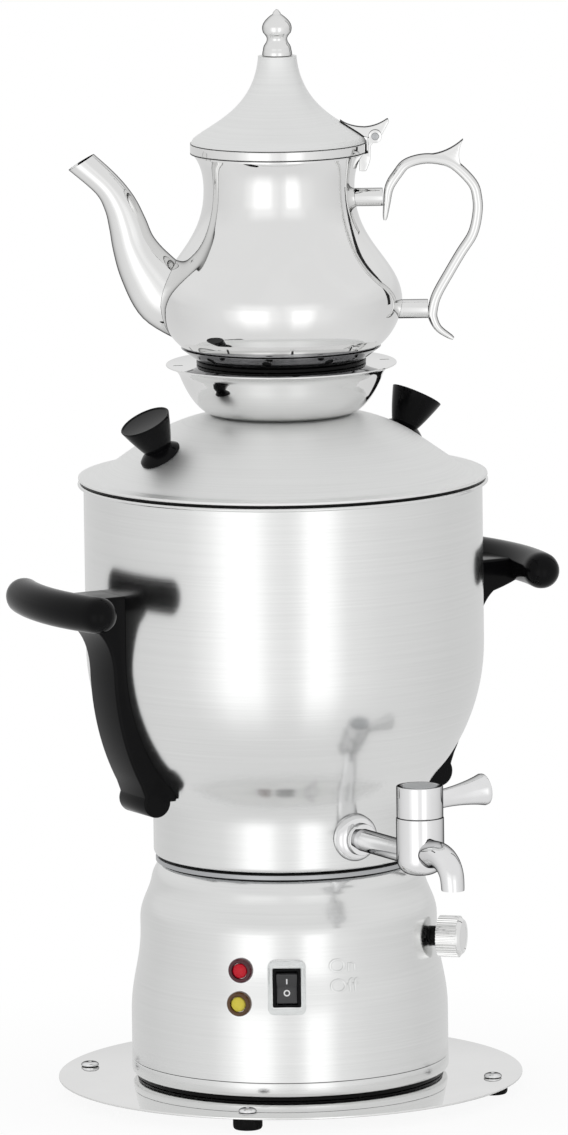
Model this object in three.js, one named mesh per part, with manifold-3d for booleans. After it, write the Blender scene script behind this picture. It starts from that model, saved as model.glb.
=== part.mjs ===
import * as THREE from "three";
import { mergeVertices } from "three/addons/utils/BufferGeometryUtils.js";
import Module from "manifold-3d";

// Electric samovar: a steel water vessel on a round base plate, with a tap in front and a teapot on the lid.
// Millimetres, +Z up. The origin lies on the surface that the feet stand on, under the middle of the plate.
// The tap points to -Y and the carrying handles stand at -X and +X.
// An azimuth of 0 is the tap's, and azimuths grow towards +X.

// Shared clearances
const fit = 0.3;
const runningGap = 0.3;
const overrun = 2;
const weldDistance = 0.0001;

// Counts of sides and steps
const largeSides = 28;
const potSides = 20;
const mediumSides = 16;
const smallSides = 10;
const hexSides = 6;
const curveSteps = 3;

// Feet and base plate
const footHeight = 7.2;
const footRadius = 7.85;
const footCircleRadius = 111;
const footCount = 4;
const footTurn = 3;
const footScrewHeadRadius = 4.75;
const footScrewHeadHeight = 2.2;
const footScrewRadius = 2;
const footScrewReach = 5;
const plateRadius = 125;
const plateThickness = 1.2;

// Base housing. The shell's radii are shares of its foot's.
const sealRingHeight = 1.8;
const sealRingInset = 2.8;
const sealRingWidth = 4;
const baseRingHeight = 8;
const baseRingRadius = 85.3;
const baseRingWidth = 5;
const baseRingRound = 2.5;
const shellWall = 1.2;
const shellHeight = 105.9;
const shellInset = 0.1;
const shellFootHeight = 24;
const shellWaistShare = 0.9366;
const shellWaistHeight = 69.3;
const shellShoulderHeight = 75.6;
const shellCollarShare = 0.8615;
const shellCollarHeight = 97.3;
const shellTopShare = 0.8099;
const shellMouthShare = 0.7277;

// Joint between base and vessel
const gasketHeight = 3.8;
const gasketOverhang = 0.3;
const gasketWidth = 7;
const collarHeight = 2.4;
const collarThickness = 1.4;

// Vessel
const vesselWall = 1;
const vesselHeight = 203;
const vesselNeckOverhang = 3;
const vesselBottomRound = 3;
const vesselNeckHeight = 22.3;
const vesselFilletWidth = 12.5;
const vesselBowlHeight = 47.8;
const vesselRadius = 106.7;
const vesselCylinderHeight = 114;
const vesselRimRoll = 3.2;
const vesselRimHeight = 3.4;
// Control points of the bowl's two curves, as shares of each curve's own width and height
const bowlFilletShares = [0, 0.48];
const bowlBulgeShares = [0.405, 0.166, 1, 0.521];

// Heater, cut-out and tie rod under the vessel
const heaterPlateRadius = 56;
const heaterPlateThickness = 5;
const heaterRingRadius = 42;
const heaterTubeRadius = 3.5;
const heaterTailLength = 24;
const heaterOpeningAngle = 40;
const heaterSteps = 16;
const cutoutRadius = 9;
const cutoutHeight = 8;
const cutoutOffset = 24;
const tieRodRadius = 3;
const tieRodThreadBelow = 7;
const tieNutRadius = 6.4;
const tieNutHeight = 4.6;

// Thermostat
const thermostatAzimuth = 45;
const thermostatHeight = 77.4;
const thermostatBodyWidth = 26;
const thermostatBodyHeight = 34;
const thermostatBodyDepth = 20;
const thermostatBodyInset = 5.4;
const thermostatBushRadius = 4.2;
const thermostatBushFlangeRadius = 5.4;
const thermostatBushFlangeThickness = 3;
const thermostatBushReach = 3.4;
const thermostatShaftRadius = 3;
const thermostatShaftReach = 13;
const knobRadius = 11.15;
const knobLength = 13.4;
const knobRibDepth = 0.7;
const knobRibCount = 36;
const knobFaceRadius = 8.6;
const knobChamferLength = 2.4;
const knobGapToShell = 4;

// Controls on the front of the base
const switchAzimuth = -31;
const switchHeight = 61.8;
const switchBezelWidth = 15.2;
const switchBezelHeight = 21.2;
const switchBezelThickness = 2.2;
const switchBodyWidth = 12.6;
const switchBodyHeight = 18.6;
const switchBodyDepth = 16;
const switchLipWidth = 1.5;
const switchCavityDepth = 9;
const rockerWidth = 11;
const rockerLength = 16.4;
const rockerPivotDepth = 3;
const rockerBulge = 3.4;
const rockerDip = 1.5;
const rockerDepth = 4.4;
const rockerTilt = 9;
const frameWidth = 20.4;
const frameHeight = 29;
const frameThickness = 3.2;
const frameRound = 4;
const lampAzimuth = -48.7;
const heatingLampHeight = 70.3;
const keepWarmLampHeight = 52.8;
const lampBezelRadius = 6.7;
const lampBezelThickness = 3.4;
const lampBodyRadius = 5.2;
const lampBodyDepth = 12;
const lampLensRadius = 4;
const lampLensDome = 1.6;
const lampLensDepth = 8;

// Cable gland at the back of the base
const glandHeight = 32;
const glandFlangeRadius = 9;
const glandFlangeThickness = 3;
const glandNoseRadius = 6;
const glandNoseLength = 12;
const glandMouthRadius = 3.6;
const glandMouthDepth = 3.5;
const glandTailLength = 5;

// Tap
const tapHeight = 138.7;
const tapReach = 139.6;
const rosetteRadius = 12.5;
const rosetteNoseRadius = 8.4;
const rosetteLength = 9;
const tapStemRadius = 6;
const tapStemBoreRadius = 3.2;
const tapStemInside = 13;
const tapNutRadius = 11;
const tapNutThickness = 6;
const tapBodyRadius = 12.65;
const tapBodyHeight = 30.6;
const tapBodyBottomRadius = 6;
const tapBodyRound = 8;
const tapStemAboveBottom = 9.7;
const tapCavityRadius = 8.6;
const tapCavityDepth = 23;
const tapPlugLength = 20;
const tapHeadRadius = 12.35;
const tapHeadHeight = 16.6;
const tapHeadRound = 0.8;
const tapCapRadius = 9;
const tapCapHeight = 1.2;
const tapCapSeat = 0.8;
const leverLength = 40;
const leverRootRadius = 5;
const leverEndRadius = 8.5;
const leverEndRound = 1.6;
const leverTilt = 5.7;
const leverBelowTop = 9.7;
const tapSpoutReach = 33;
const tapSpoutDrop = 15;
const tapSpoutRootRadius = 7.6;
const tapSpoutEndRadius = 6;
const tapSpoutBoreRadius = 3.6;

// Carrying handles. Reaches and standoffs are measured from the vessel's outside.
const gripReach = 35.8;
const gripRadius = 9.8;
const gripHalfAngle = 16.5;
const gripHeight = 266.5;
const gripSteps = 8;
const gripEndSteps = 3;
const bracketWidth = 28.6;
const bracketTopAboveGrip = 4;
const bracketFootRadius = 8;
const bracketFootStandoff = 11.3;
const bracketFootHeight = 157.5;
const bracketSeatReach = 27.8;
const bracketChinReach = 14.8;
const bracketChinBelowGrip = 14.5;
const bracketThinReach = 5.6;
const bracketThinBelowGrip = 40;
const bracketLowStandoff = 13.9;
const bracketLowAboveFoot = 9.5;
const handleBoltRadius = 3;
const handleBoltHeadRadius = 6.5;
const handleBoltHeadHeight = 4;
const handleBoltReach = 15;
const handleBoltBelowTop = 7;

// Lid and its knobs
const lidWall = 1;
const lidFlangeInset = 0.2;
const lidFlangeThickness = 1.6;
const lidDomeInset = 4.6;
const lidConeRadius = 76;
const lidConeHeight = 18.5;
const lidCrownRadius = 37;
const lidCrownHeight = 34.2;
const lidMouthRadius = 33;
const lidLipClearance = 1.1;
const lidLipDepth = 9;
const lidKnobCircleRadius = 76;
const lidTurn = 2;
const lidKnobTilt = 28;
const lidKnobLength = 21;
const lidKnobBaseRadius = 11.9;
const lidKnobWaistRadius = 7.5;
const lidKnobTopRadius = 13.9;
const lidKnobWaistShare = 0.18;
const lidKnobDish = 1;
const lidKnobFootRound = 1.5;

// Stand on the lid, with its seal and the ring that warms the teapot
const standWall = 0.9;
const standBaseOverhang = 0.5;
const standBowlRadius = 54.5;
const standBowlHeight = 21.2;
const standFlangeRadius = 61.7;
const standHeight = 27;
const standFlangeInnerRadius = 42;
const standLipClearance = 1;
const standLipDepth = 4;
const standSlotCount = 8;
const standSlotLength = 5.4;
const standSlotWidth = 1.4;
const standSlotCircleRadius = 55.5;
const standSealWidth = 3;
const standSealHeight = 1.8;
const ringWall = 0.9;
const ringLedgeInnerRadius = 32;
const ringFootShare = 0.2;
const ringRimShare = 0.542;
const ringHeight = 6.4;
const ringHoleCount = 9;
const ringHoleRadius = 2.5;
const ringHoleTurn = -39;

// Teapot. Its base and waist are shares of its hip.
const potWall = 1;
const potAzimuth = 60;
const potBaseShare = 0.6144;
const potHipRadius = 65.1;
const potHipHeight = 29;
const potWaistShare = 0.6175;
const potWaistHeight = 89.9;
const potMouthFlare = 4.8;
const potHeight = 109;
const potLipHeight = 1.2;
const potBottomShares = [0.48, 0.065, 0.94, 0.45];
const potShoulderShares = [0, 0.36, 1, 0.51];
const strainerHoleRadius = 2;
const strainerHoleSpacing = 6.5;
const strainerHeight = 35;
const potLidFlangeOverhang = 2;
const potLidFlangeHeight = 5.1;
const potLidShoulderOverhang = 0.5;
const potLidShoulderRise = 2.5;
const potLidNeckRadius = 10.2;
const potLidHeight = 51.6;
const potLidLipInset = 3.8;
const potLidLipDepth = 4;
const potLidShares = [0.3, 0.19, 0.935, 0.365];
const finialHeight = 24.8;
const finialFootRadius = 8;
const finialFootEdgeRadius = 7.2;
const finialWaistRadius = 5.4;
const finialBulbRadius = 8;
const finialTipRadius = 2.7;
// Heights of the finial's foot edge, waist, bulb and tip as shares of its height
const finialHeightShares = [0.23, 0.36, 0.62, 0.9];

// Teapot spout. Its middle line is given as shares of its reach beyond the hip and of its height over the
// pot's base, and its half sizes as shares of those at the root.
const spoutWall = 0.9;
const spoutSides = 14;
const spoutReach = 40;
const spoutHeight = 105.4;
const spoutRootTall = 19;
const spoutRootWide = 14;
const spoutHeadings = [25, 40, 60, 73, 75, 65, 50, 58.5];
const spoutOutShares = [-0.4275, -0.0775, 0.1725, 0.3225, 0.3975, 0.4975, 0.6725, 1];
const spoutUpShares = [0.2552, 0.3311, 0.4639, 0.5835, 0.6841, 0.7865, 0.8861, 1];
const spoutTallShares = [1, 0.9474, 0.7632, 0.6053, 0.5316, 0.4579, 0.3947, 0.4211];
const spoutWideShares = [1, 0.9643, 0.8571, 0.75, 0.6786, 0.6071, 0.5357, 0.4714];

// Teapot handle. The strap's middle line is given as shares of its reach beyond the hip and of its height.
const strapWidth = 9;
const strapThickness = 5.4;
const strapTipThickness = 1.6;
const strapSteps = 30;
const strapReach = 40.5;
const strapHeight = 104.8;
const strapPointShares = [
  [-0.2198, 0.6908],
  [-0.1926, 0.7719],
  [-0.1556, 0.8578],
  [-0.0395, 0.9294],
  [0.0716, 0.9761],
  [0.2815, 1],
  [0.4988, 0.9962],
  [0.7012, 0.9676],
  [0.9358, 0.875],
  [0.9975, 0.8006],
  [1, 0.7195],
  [0.9358, 0.6145],
  [0.7778, 0.5191],
  [0.6148, 0.4141],
  [0.4543, 0.3044],
  [0.3975, 0.2281],
  [0.4, 0.1851],
  [0.479, 0.1279],
  [0.6642, 0.0782],
];
const thumbRestRootShare = 0.368;
const thumbRestEndShare = 0.788;
const thumbRestTipShare = 0.82;
const thumbRestTipUp = 115.2;
const upperPostRadius = 4.85;
const upperPostHeight = 84.7;
const lowerPostRadius = 5.1;
const lowerPostHeight = 24.4;

// Teapot lid hinge
const hingeBeyondMouth = 6.5;
const hingeAboveMouth = 8.8;
const hingePinRadius = 1.9;
const hingePinLength = 14;
const hingeEarWidth = 3;
const hingeEarRadius = 3.5;
const hingeKnuckleWidth = 6.8;
const hingeLegThickness = 2.6;
const hingeLegDrop = 10;
const thumbLeverRootInset = 12;
const thumbLeverRootRise = 8.4;
const thumbLeverDipRise = 4.4;
const thumbLeverTipReach = 13.5;
const thumbLeverTipRise = 8.8;
const thumbLeverTipThickness = 1.6;

// Colours
const satinSteel = { color: 0xd2d3d2, roughness: 0.24, metalness: 1 };
const mirrorSteel = { color: 0xdcdcda, roughness: 0.08, metalness: 1 };
const chrome = { color: 0xe2e3e4, roughness: 0.05, metalness: 1 };
const dullSteel = { color: 0x8d8f90, roughness: 0.4, metalness: 1 };
const blackPlastic = { color: 0x0b0b0c, roughness: 0.28, metalness: 0 };
const blackRubber = { color: 0x121212, roughness: 0.75, metalness: 0 };
const clearPlastic = { color: 0xdfe3e4, roughness: 0.15, metalness: 0 };
const redPlastic = { color: 0xc41522, roughness: 0.25, metalness: 0 };
const darkRedPlastic = { color: 0x4d1220, roughness: 0.2, metalness: 0 };
const yellowPlastic = { color: 0xe6d84c, roughness: 0.25, metalness: 0 };
const brownPlastic = { color: 0x5e3414, roughness: 0.2, metalness: 0 };
const aluminium = { color: 0xb9bbbd, roughness: 0.45, metalness: 1 };
const ceramic = { color: 0xe9e4d8, roughness: 0.6, metalness: 0 };
const brass = { color: 0xb6904a, roughness: 0.35, metalness: 1 };

// Azimuths of the two sides and of the back
const leftAzimuth = -90;
const rightAzimuth = 90;
const backAzimuth = 180;

// Radii and reaches that follow from other sizes
const sealRingRadius = baseRingRadius - sealRingInset;
const shellFootRadius = baseRingRadius - shellInset;
const shellWaistRadius = shellFootRadius * shellWaistShare;
const shellCollarRadius = shellFootRadius * shellCollarShare;
const shellTopRadius = shellFootRadius * shellTopShare;
const shellMouthRadius = shellFootRadius * shellMouthShare;
const gasketRadius = shellTopRadius + gasketOverhang;
const collarRadius = gasketRadius + fit + collarThickness;
const vesselNeckRadius = shellTopRadius + vesselNeckOverhang;
const vesselBowlRadius = vesselNeckRadius + vesselFilletWidth;
const vesselRimRadius = vesselRadius + vesselRimRoll;
const gripCircleRadius = vesselRadius + gripReach;
const lidFlangeRadius = vesselRimRadius - lidFlangeInset;
const lidLipRadius = vesselRadius - vesselWall - lidLipClearance;
const lidDomeRadius = lidLipRadius - lidDomeInset;
const standBaseRadius = lidCrownRadius + standBaseOverhang;
const standLipRadius = lidMouthRadius - standLipClearance;
const potBaseRadius = potHipRadius * potBaseShare;
const potWaistRadius = potHipRadius * potWaistShare;
const potMouthRadius = potWaistRadius + potMouthFlare;
const ringFootRadius = between(potBaseRadius, potHipRadius, ringFootShare);
const ringRimRadius = between(potBaseRadius, potHipRadius, ringRimShare);
const standSealRadius = ringFootRadius + fit;
const potLidFlangeRadius = potMouthRadius + potLidFlangeOverhang;
const potLidShoulderRadius = potMouthRadius + potLidShoulderOverhang;
const potLidLipRadius = potMouthRadius - potLidLipInset;
const hingeOut = potMouthRadius + hingeBeyondMouth;
const thumbLeverRootOut = potMouthRadius - thumbLeverRootInset;
const thumbLeverTipOut = potMouthRadius + thumbLeverTipReach;

// Heights above the floor, from the feet up
const plateBottom = footHeight + fit;
const plateTop = plateBottom + plateThickness;
const sealRingBottom = plateTop + fit;
const baseRingBottom = sealRingBottom + sealRingHeight + fit;
const shellBottom = baseRingBottom + baseRingHeight + fit;
const shellTop = shellBottom + shellHeight;
const gasketBottom = shellTop + fit;
const gasketTop = gasketBottom + gasketHeight;
const vesselBottom = gasketTop + fit;
const vesselTop = vesselBottom + vesselHeight;
const lidBottom = vesselTop + fit;
const lidTop = lidBottom + lidCrownHeight;
const standBottom = lidTop + fit;
const standTop = standBottom + standHeight;
const standSealBottom = standTop + fit;
const ringBottom = standSealBottom + standSealHeight + fit;
const potBottom = ringBottom + ringWall + fit;
const potMouth = potBottom + potHeight;
const potLidBottom = potMouth + fit;
const potLidTop = potLidBottom + potLidHeight;
const finialBottom = potLidTop + fit;
const hingeHeight = potMouth + hingeAboveMouth;

const wasm = await Module();
wasm.setup();

function radians(degrees) {
  return THREE.MathUtils.degToRad(degrees);
}

// A closed geometry as a solid that can be cut and joined. A surface that points inwards is turned round.
function solidFrom(geometry) {
  const bare = geometry.index ? geometry.toNonIndexed() : geometry.clone();
  bare.deleteAttribute("normal");
  bare.deleteAttribute("uv");
  const merged = mergeVertices(bare, weldDistance);
  const corners = merged.index.array;
  const kept = [];
  for (let i = 0; i < corners.length; i += 3) {
    const [a, b, c] = [corners[i], corners[i + 1], corners[i + 2]];
    if (a !== b && b !== c && c !== a) kept.push([a, b, c]);
  }
  const build = (triangles) =>
    new wasm.Manifold(
      new wasm.Mesh({
        numProp: 3,
        vertProperties: merged.attributes.position.array,
        triVerts: new Uint32Array(triangles.flat()),
      }),
    );
  const solid = build(kept);
  return solid.volume() > 0 ? solid : build(kept.map(([a, b, c]) => [a, c, b]));
}

function geometryFrom(solid) {
  const mesh = solid.getMesh();
  const geometry = new THREE.BufferGeometry();
  geometry.setAttribute("position", new THREE.BufferAttribute(mesh.vertProperties, mesh.numProp));
  geometry.setIndex(new THREE.BufferAttribute(mesh.triVerts, 1));
  geometry.computeVertexNormals();
  return geometry;
}

function joined(...geometries) {
  return geometryFrom(geometries.map(solidFrom).reduce((all, next) => all.add(next)));
}

function cut(geometry, ...cutters) {
  return geometryFrom(
    cutters.map(solidFrom).reduce((left, next) => left.subtract(next), solidFrom(geometry)),
  );
}

function point(x, y) {
  return new THREE.Vector2(x, y);
}

// A body turned about Z from an outline of (radius, height) points, which closes on itself or on the axis.
function revolve(outline, sides) {
  return new THREE.LatheGeometry(outline, sides).rotateX(Math.PI / 2);
}

function ring(outerRadius, innerRadius, bottom, height, sides) {
  const top = bottom + height;
  const corners = [
    point(innerRadius, bottom),
    point(outerRadius, bottom),
    point(outerRadius, top),
    point(innerRadius, top),
  ];
  return revolve([...corners, corners[0].clone()], sides);
}

function disc(radius, bottom, height, sides) {
  return revolve(
    [point(0, bottom), point(radius, bottom), point(radius, bottom + height), point(0, bottom + height)],
    sides,
  );
}

// A cylinder that starts at the origin and points away from the object at azimuth 0, along -Y.
function outwardCylinder(radius, length, sides) {
  return disc(radius, 0, length, sides).rotateX(Math.PI / 2);
}

// An outline moved to its left by a wall's thickness: inwards, where it climbs the outside of a body.
function offsetOutline(outline, wall) {
  return outline.map((here, i) => {
    const before = outline[Math.max(i - 1, 0)];
    const after = outline[Math.min(i + 1, outline.length - 1)];
    const along = after.clone().sub(before).normalize();
    return point(Math.max(here.x - along.y * wall, 0), here.y + along.x * wall);
  });
}

// A closed outline of a wall: up its outside, over the points of its edge and down its inside.
function wallOutline(outside, wall, edge = []) {
  const inside = offsetOutline(outside, wall).reverse();
  const closed = [...outside, ...edge, ...inside];
  const onAxis = outside[0].x === 0;
  return onAxis ? closed : [...closed, closed[0].clone()];
}

function between(from, to, share) {
  return from + (to - from) * share;
}

// A path's points, without the double points where two of its curves meet.
function pointsOf(path, steps = curveSteps) {
  return path.getPoints(steps).filter(
    (here, i, all) => i === 0 || here.distanceTo(all[i - 1]) > weldDistance,
  );
}

// The radius that a turned body's outline has at a height.
function radiusAt(outline, z) {
  const i = outline.findIndex((here) => here.y >= z);
  const [low, high] = [outline[i - 1], outline[i]];
  return between(low.x, high.x, (z - low.y) / (high.y - low.y));
}

// A closed tube through oval sections that stand square to the XZ plane.
function tubeInPlane(sections, sides) {
  const positions = [];
  const triangles = [];
  sections.forEach(({ x, z, heading, tall, wide }) => {
    const angle = radians(heading);
    for (let i = 0; i < sides; i += 1) {
      const turn = (2 * Math.PI * i) / sides;
      const across = tall * Math.cos(turn);
      positions.push(x - Math.sin(angle) * across, wide * Math.sin(turn), z + Math.cos(angle) * across);
    }
  });
  const firstMiddle = positions.length / 3;
  const lastMiddle = firstMiddle + 1;
  const first = sections[0];
  const last = sections[sections.length - 1];
  positions.push(first.x, 0, first.z, last.x, 0, last.z);
  for (let row = 0; row + 1 < sections.length; row += 1) {
    for (let i = 0; i < sides; i += 1) {
      const next = (i + 1) % sides;
      const [a, b] = [row * sides + i, row * sides + next];
      triangles.push(a, a + sides, b, b, a + sides, b + sides);
    }
  }
  const lastRow = (sections.length - 1) * sides;
  for (let i = 0; i < sides; i += 1) {
    const next = (i + 1) % sides;
    triangles.push(firstMiddle, i, next, lastMiddle, lastRow + next, lastRow + i);
  }
  const geometry = new THREE.BufferGeometry();
  geometry.setAttribute("position", new THREE.Float32BufferAttribute(positions, 3));
  geometry.setIndex(triangles);
  return geometry;
}

// A flat outline in the XZ plane as a slab of the given width, centred on that plane.
function slabInPlane(outline, width) {
  const shape = new THREE.Shape(outline);
  const slab = new THREE.ExtrudeGeometry(shape, { depth: width, bevelEnabled: false });
  return slab.translate(0, 0, -width / 2).rotateX(Math.PI / 2);
}

function roundedRectangle(width, height, round) {
  const [x, y] = [width / 2, height / 2];
  const shape = new THREE.Shape();
  shape.moveTo(round - x, -y);
  shape.lineTo(x - round, -y);
  shape.quadraticCurveTo(x, -y, x, round - y);
  shape.lineTo(x, y - round);
  shape.quadraticCurveTo(x, y, x - round, y);
  shape.lineTo(round - x, y);
  shape.quadraticCurveTo(-x, y, -x, y - round);
  shape.lineTo(-x, round - y);
  shape.quadraticCurveTo(-x, -y, round - x, -y);
  return shape;
}

// A rounded slab that faces azimuth 0: its back is at the origin's depth and it stands out by its thickness.
function frontSlab(width, height, thickness, round) {
  const slab = new THREE.ExtrudeGeometry(roundedRectangle(width, height, round), {
    depth: thickness,
    bevelEnabled: false,
    curveSegments: curveSteps,
  });
  return slab.rotateX(Math.PI / 2);
}

function named(name, geometry, finish) {
  const mesh = new THREE.Mesh(geometry, new THREE.MeshStandardMaterial(finish));
  mesh.name = name;
  return mesh;
}

// A group turned about Z, so that what points to azimuth 0 in it points to the given azimuth.
function facing(azimuth) {
  const group = new THREE.Group();
  group.rotation.z = radians(azimuth);
  return group;
}

// A geometry of the whole object as it lies in a group that is turned to an azimuth.
function seenFrom(azimuth, geometry) {
  return geometry.clone().rotateZ(-radians(azimuth));
}

const samovar = new THREE.Group();
samovar.name = "samovar";

// Outlines of the turned bodies, up the outside
const shellPath = new THREE.Path();
shellPath.moveTo(shellFootRadius, shellBottom);
shellPath.lineTo(shellFootRadius, shellBottom + shellFootHeight);
shellPath.bezierCurveTo(
  shellFootRadius,
  shellBottom + between(shellFootHeight, shellWaistHeight, 0.4),
  shellWaistRadius,
  shellBottom + between(shellFootHeight, shellWaistHeight, 0.6),
  shellWaistRadius,
  shellBottom + shellWaistHeight,
);
shellPath.lineTo(shellWaistRadius, shellBottom + shellShoulderHeight);
shellPath.bezierCurveTo(
  shellWaistRadius,
  shellBottom + between(shellShoulderHeight, shellCollarHeight, 0.4),
  between(shellWaistRadius, shellCollarRadius, 0.8),
  shellBottom + between(shellShoulderHeight, shellCollarHeight, 0.65),
  shellCollarRadius,
  shellBottom + shellCollarHeight,
);
shellPath.quadraticCurveTo(
  between(shellCollarRadius, shellTopRadius, 0.2),
  shellBottom + between(shellCollarHeight, shellHeight, 0.6),
  shellTopRadius,
  shellTop,
);
const shellOutside = pointsOf(shellPath);

const vesselPath = new THREE.Path();
const vesselBulgeTop = vesselBottom + vesselCylinderHeight;
const vesselBowlStart = vesselBottom + vesselBowlHeight;
vesselPath.moveTo(0, vesselBottom);
vesselPath.lineTo(vesselNeckRadius - vesselBottomRound, vesselBottom);
vesselPath.lineTo(vesselNeckRadius, vesselBottom + vesselBottomRound);
vesselPath.lineTo(vesselNeckRadius, vesselBottom + vesselNeckHeight);
vesselPath.quadraticCurveTo(
  between(vesselNeckRadius, vesselBowlRadius, bowlFilletShares[0]),
  vesselBottom + between(vesselNeckHeight, vesselBowlHeight, bowlFilletShares[1]),
  vesselBowlRadius,
  vesselBowlStart,
);
vesselPath.bezierCurveTo(
  between(vesselBowlRadius, vesselRadius, bowlBulgeShares[0]),
  between(vesselBowlStart, vesselBulgeTop, bowlBulgeShares[1]),
  between(vesselBowlRadius, vesselRadius, bowlBulgeShares[2]),
  between(vesselBowlStart, vesselBulgeTop, bowlBulgeShares[3]),
  vesselRadius,
  vesselBulgeTop,
);
vesselPath.lineTo(vesselRadius, vesselTop - vesselRimHeight);
const vesselOutside = pointsOf(vesselPath);

// Solid bodies a little larger than shell and vessel, which cut what is seated on them
function grownBody(outside, growth, top, sides) {
  const grown = offsetOutline(outside, -growth);
  const last = grown[grown.length - 1];
  return revolve([point(0, grown[0].y), ...grown, point(last.x, top), point(0, top)], sides);
}
const shellBody = grownBody(shellOutside, fit, shellTop + overrun, largeSides);
const vesselBody = grownBody(vesselOutside, fit, vesselTop, largeSides);

function footAzimuth(i) {
  return footTurn + ((i + 0.5) * 360) / footCount;
}

function makeFeet() {
  const footScrewLength = footScrewReach + fit + plateThickness + fit;
  const footHole = disc(
    footScrewRadius + fit,
    footHeight - footScrewReach - fit,
    footScrewReach + overrun,
    smallSides,
  );
  const foot = cut(disc(footRadius, 0, footHeight, mediumSides), footHole);
  const head = revolve(
    [
      point(0, 0),
      point(footScrewHeadRadius, 0),
      point(footScrewHeadRadius, footScrewHeadHeight / 2),
      point(footScrewHeadRadius / 2, footScrewHeadHeight),
      point(0, footScrewHeadHeight),
    ],
    smallSides,
  );
  const screw = joined(
    head,
    disc(footScrewRadius, -footScrewLength, footScrewLength + footScrewHeadHeight / 2, smallSides),
  );
  for (let i = 0; i < footCount; i += 1) {
    const corner = facing(footAzimuth(i));
    const footMesh = named("foot_" + (i + 1), foot, blackRubber);
    const screwMesh = named("foot_screw_" + (i + 1), screw, chrome);
    footMesh.position.set(0, -footCircleRadius, 0);
    screwMesh.position.set(0, -footCircleRadius, plateTop + fit);
    corner.add(footMesh, screwMesh);
    samovar.add(corner);
  }
}

function makePlate() {
  const plate = disc(plateRadius, plateBottom, plateThickness, largeSides);
  const holes = [disc(tieRodRadius + fit, plateBottom - overrun, plateThickness + 2 * overrun, smallSides)];
  for (let i = 0; i < footCount; i += 1) {
    const hole = disc(
      footScrewRadius + fit,
      plateBottom - overrun,
      plateThickness + 2 * overrun,
      smallSides,
    );
    holes.push(hole.translate(0, -footCircleRadius, 0).rotateZ(radians(footAzimuth(i))));
  }
  samovar.add(named("base_plate", cut(plate, ...holes), mirrorSteel));
}

function makeBaseRings() {
  const seal = ring(
    sealRingRadius,
    sealRingRadius - sealRingWidth,
    sealRingBottom,
    sealRingHeight,
    largeSides,
  );
  const inner = baseRingRadius - baseRingWidth;
  const baseRingTop = baseRingBottom + baseRingHeight;
  const ringOutline = [
    point(inner, baseRingBottom),
    point(baseRingRadius - baseRingRound, baseRingBottom),
    point(baseRingRadius - baseRingRound * 0.3, baseRingBottom + baseRingRound * 0.3),
    point(baseRingRadius, baseRingBottom + baseRingRound),
    point(baseRingRadius, baseRingTop),
    point(inner, baseRingTop),
    point(inner, baseRingBottom),
  ];
  samovar.add(named("base_seal_ring", seal, blackRubber));
  samovar.add(named("base_ring", revolve(ringOutline, largeSides), mirrorSteel));
}

// Cutters through the shell for everything that is mounted in it
function shellCutters() {
  const start = shellMouthRadius;
  const depth = shellFootRadius - start + overrun;
  const at = (azimuth, height, cutter) => {
    return cutter.translate(0, -start, plateTop + height).rotateZ(radians(azimuth));
  };
  const roundHole = (radius) => outwardCylinder(radius + fit, depth, mediumSides);
  const switchHole = frontSlab(switchBodyWidth + 2 * fit, switchBodyHeight + 2 * fit, depth, fit);
  return [
    at(switchAzimuth, switchHeight, switchHole),
    at(lampAzimuth, heatingLampHeight, roundHole(lampBodyRadius)),
    at(lampAzimuth, keepWarmLampHeight, roundHole(lampBodyRadius)),
    at(thermostatAzimuth, thermostatHeight, roundHole(thermostatBushRadius)),
    at(backAzimuth, glandHeight, roundHole(glandNoseRadius)),
  ];
}

function makeShell() {
  const edge = [point(shellMouthRadius, shellTop), point(shellMouthRadius, shellTop - shellWall)];
  const shell = revolve(wallOutline(shellOutside, shellWall, edge), largeSides);
  samovar.add(named("base_shell", cut(shell, ...shellCutters()), satinSteel));
}

function makeJoint() {
  const gasket = ring(gasketRadius, gasketRadius - gasketWidth, gasketBottom, gasketHeight, largeSides);
  const collarBottom = gasketBottom + (gasketHeight - collarHeight) / 2;
  const collar = ring(collarRadius, gasketRadius + fit, collarBottom, collarHeight, largeSides);
  samovar.add(named("joint_gasket", gasket, blackRubber));
  samovar.add(named("joint_collar", collar, dullSteel));
}

function makeVessel() {
  const rimBottom = vesselTop - vesselRimHeight;
  const roll = vesselRimRadius - vesselRadius;
  const rim = [
    point(vesselRimRadius - roll / 4, rimBottom + roll / 4),
    point(vesselRimRadius, rimBottom + vesselRimHeight / 3),
    point(vesselRimRadius, vesselTop - vesselRimHeight / 3),
    point(vesselRimRadius - roll / 2, vesselTop - roll / 8),
    point(vesselRadius - vesselWall, vesselTop),
  ];
  const vessel = revolve(wallOutline(vesselOutside, vesselWall, rim), largeSides);
  const through = vesselRimRadius - vesselNeckRadius / 2;
  const tapHole = outwardCylinder(tapStemRadius + fit, through, mediumSides);
  tapHole.translate(0, -vesselNeckRadius / 2, plateTop + tapHeight);
  const boltHoles = [leftAzimuth, rightAzimuth].map((azimuth) => {
    const hole = outwardCylinder(handleBoltRadius + fit, through, smallSides);
    return hole.translate(0, -vesselNeckRadius, handleBoltHeight()).rotateZ(radians(azimuth));
  });
  samovar.add(named("vessel", cut(vessel, tapHole, ...boltHoles), satinSteel));
}

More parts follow.
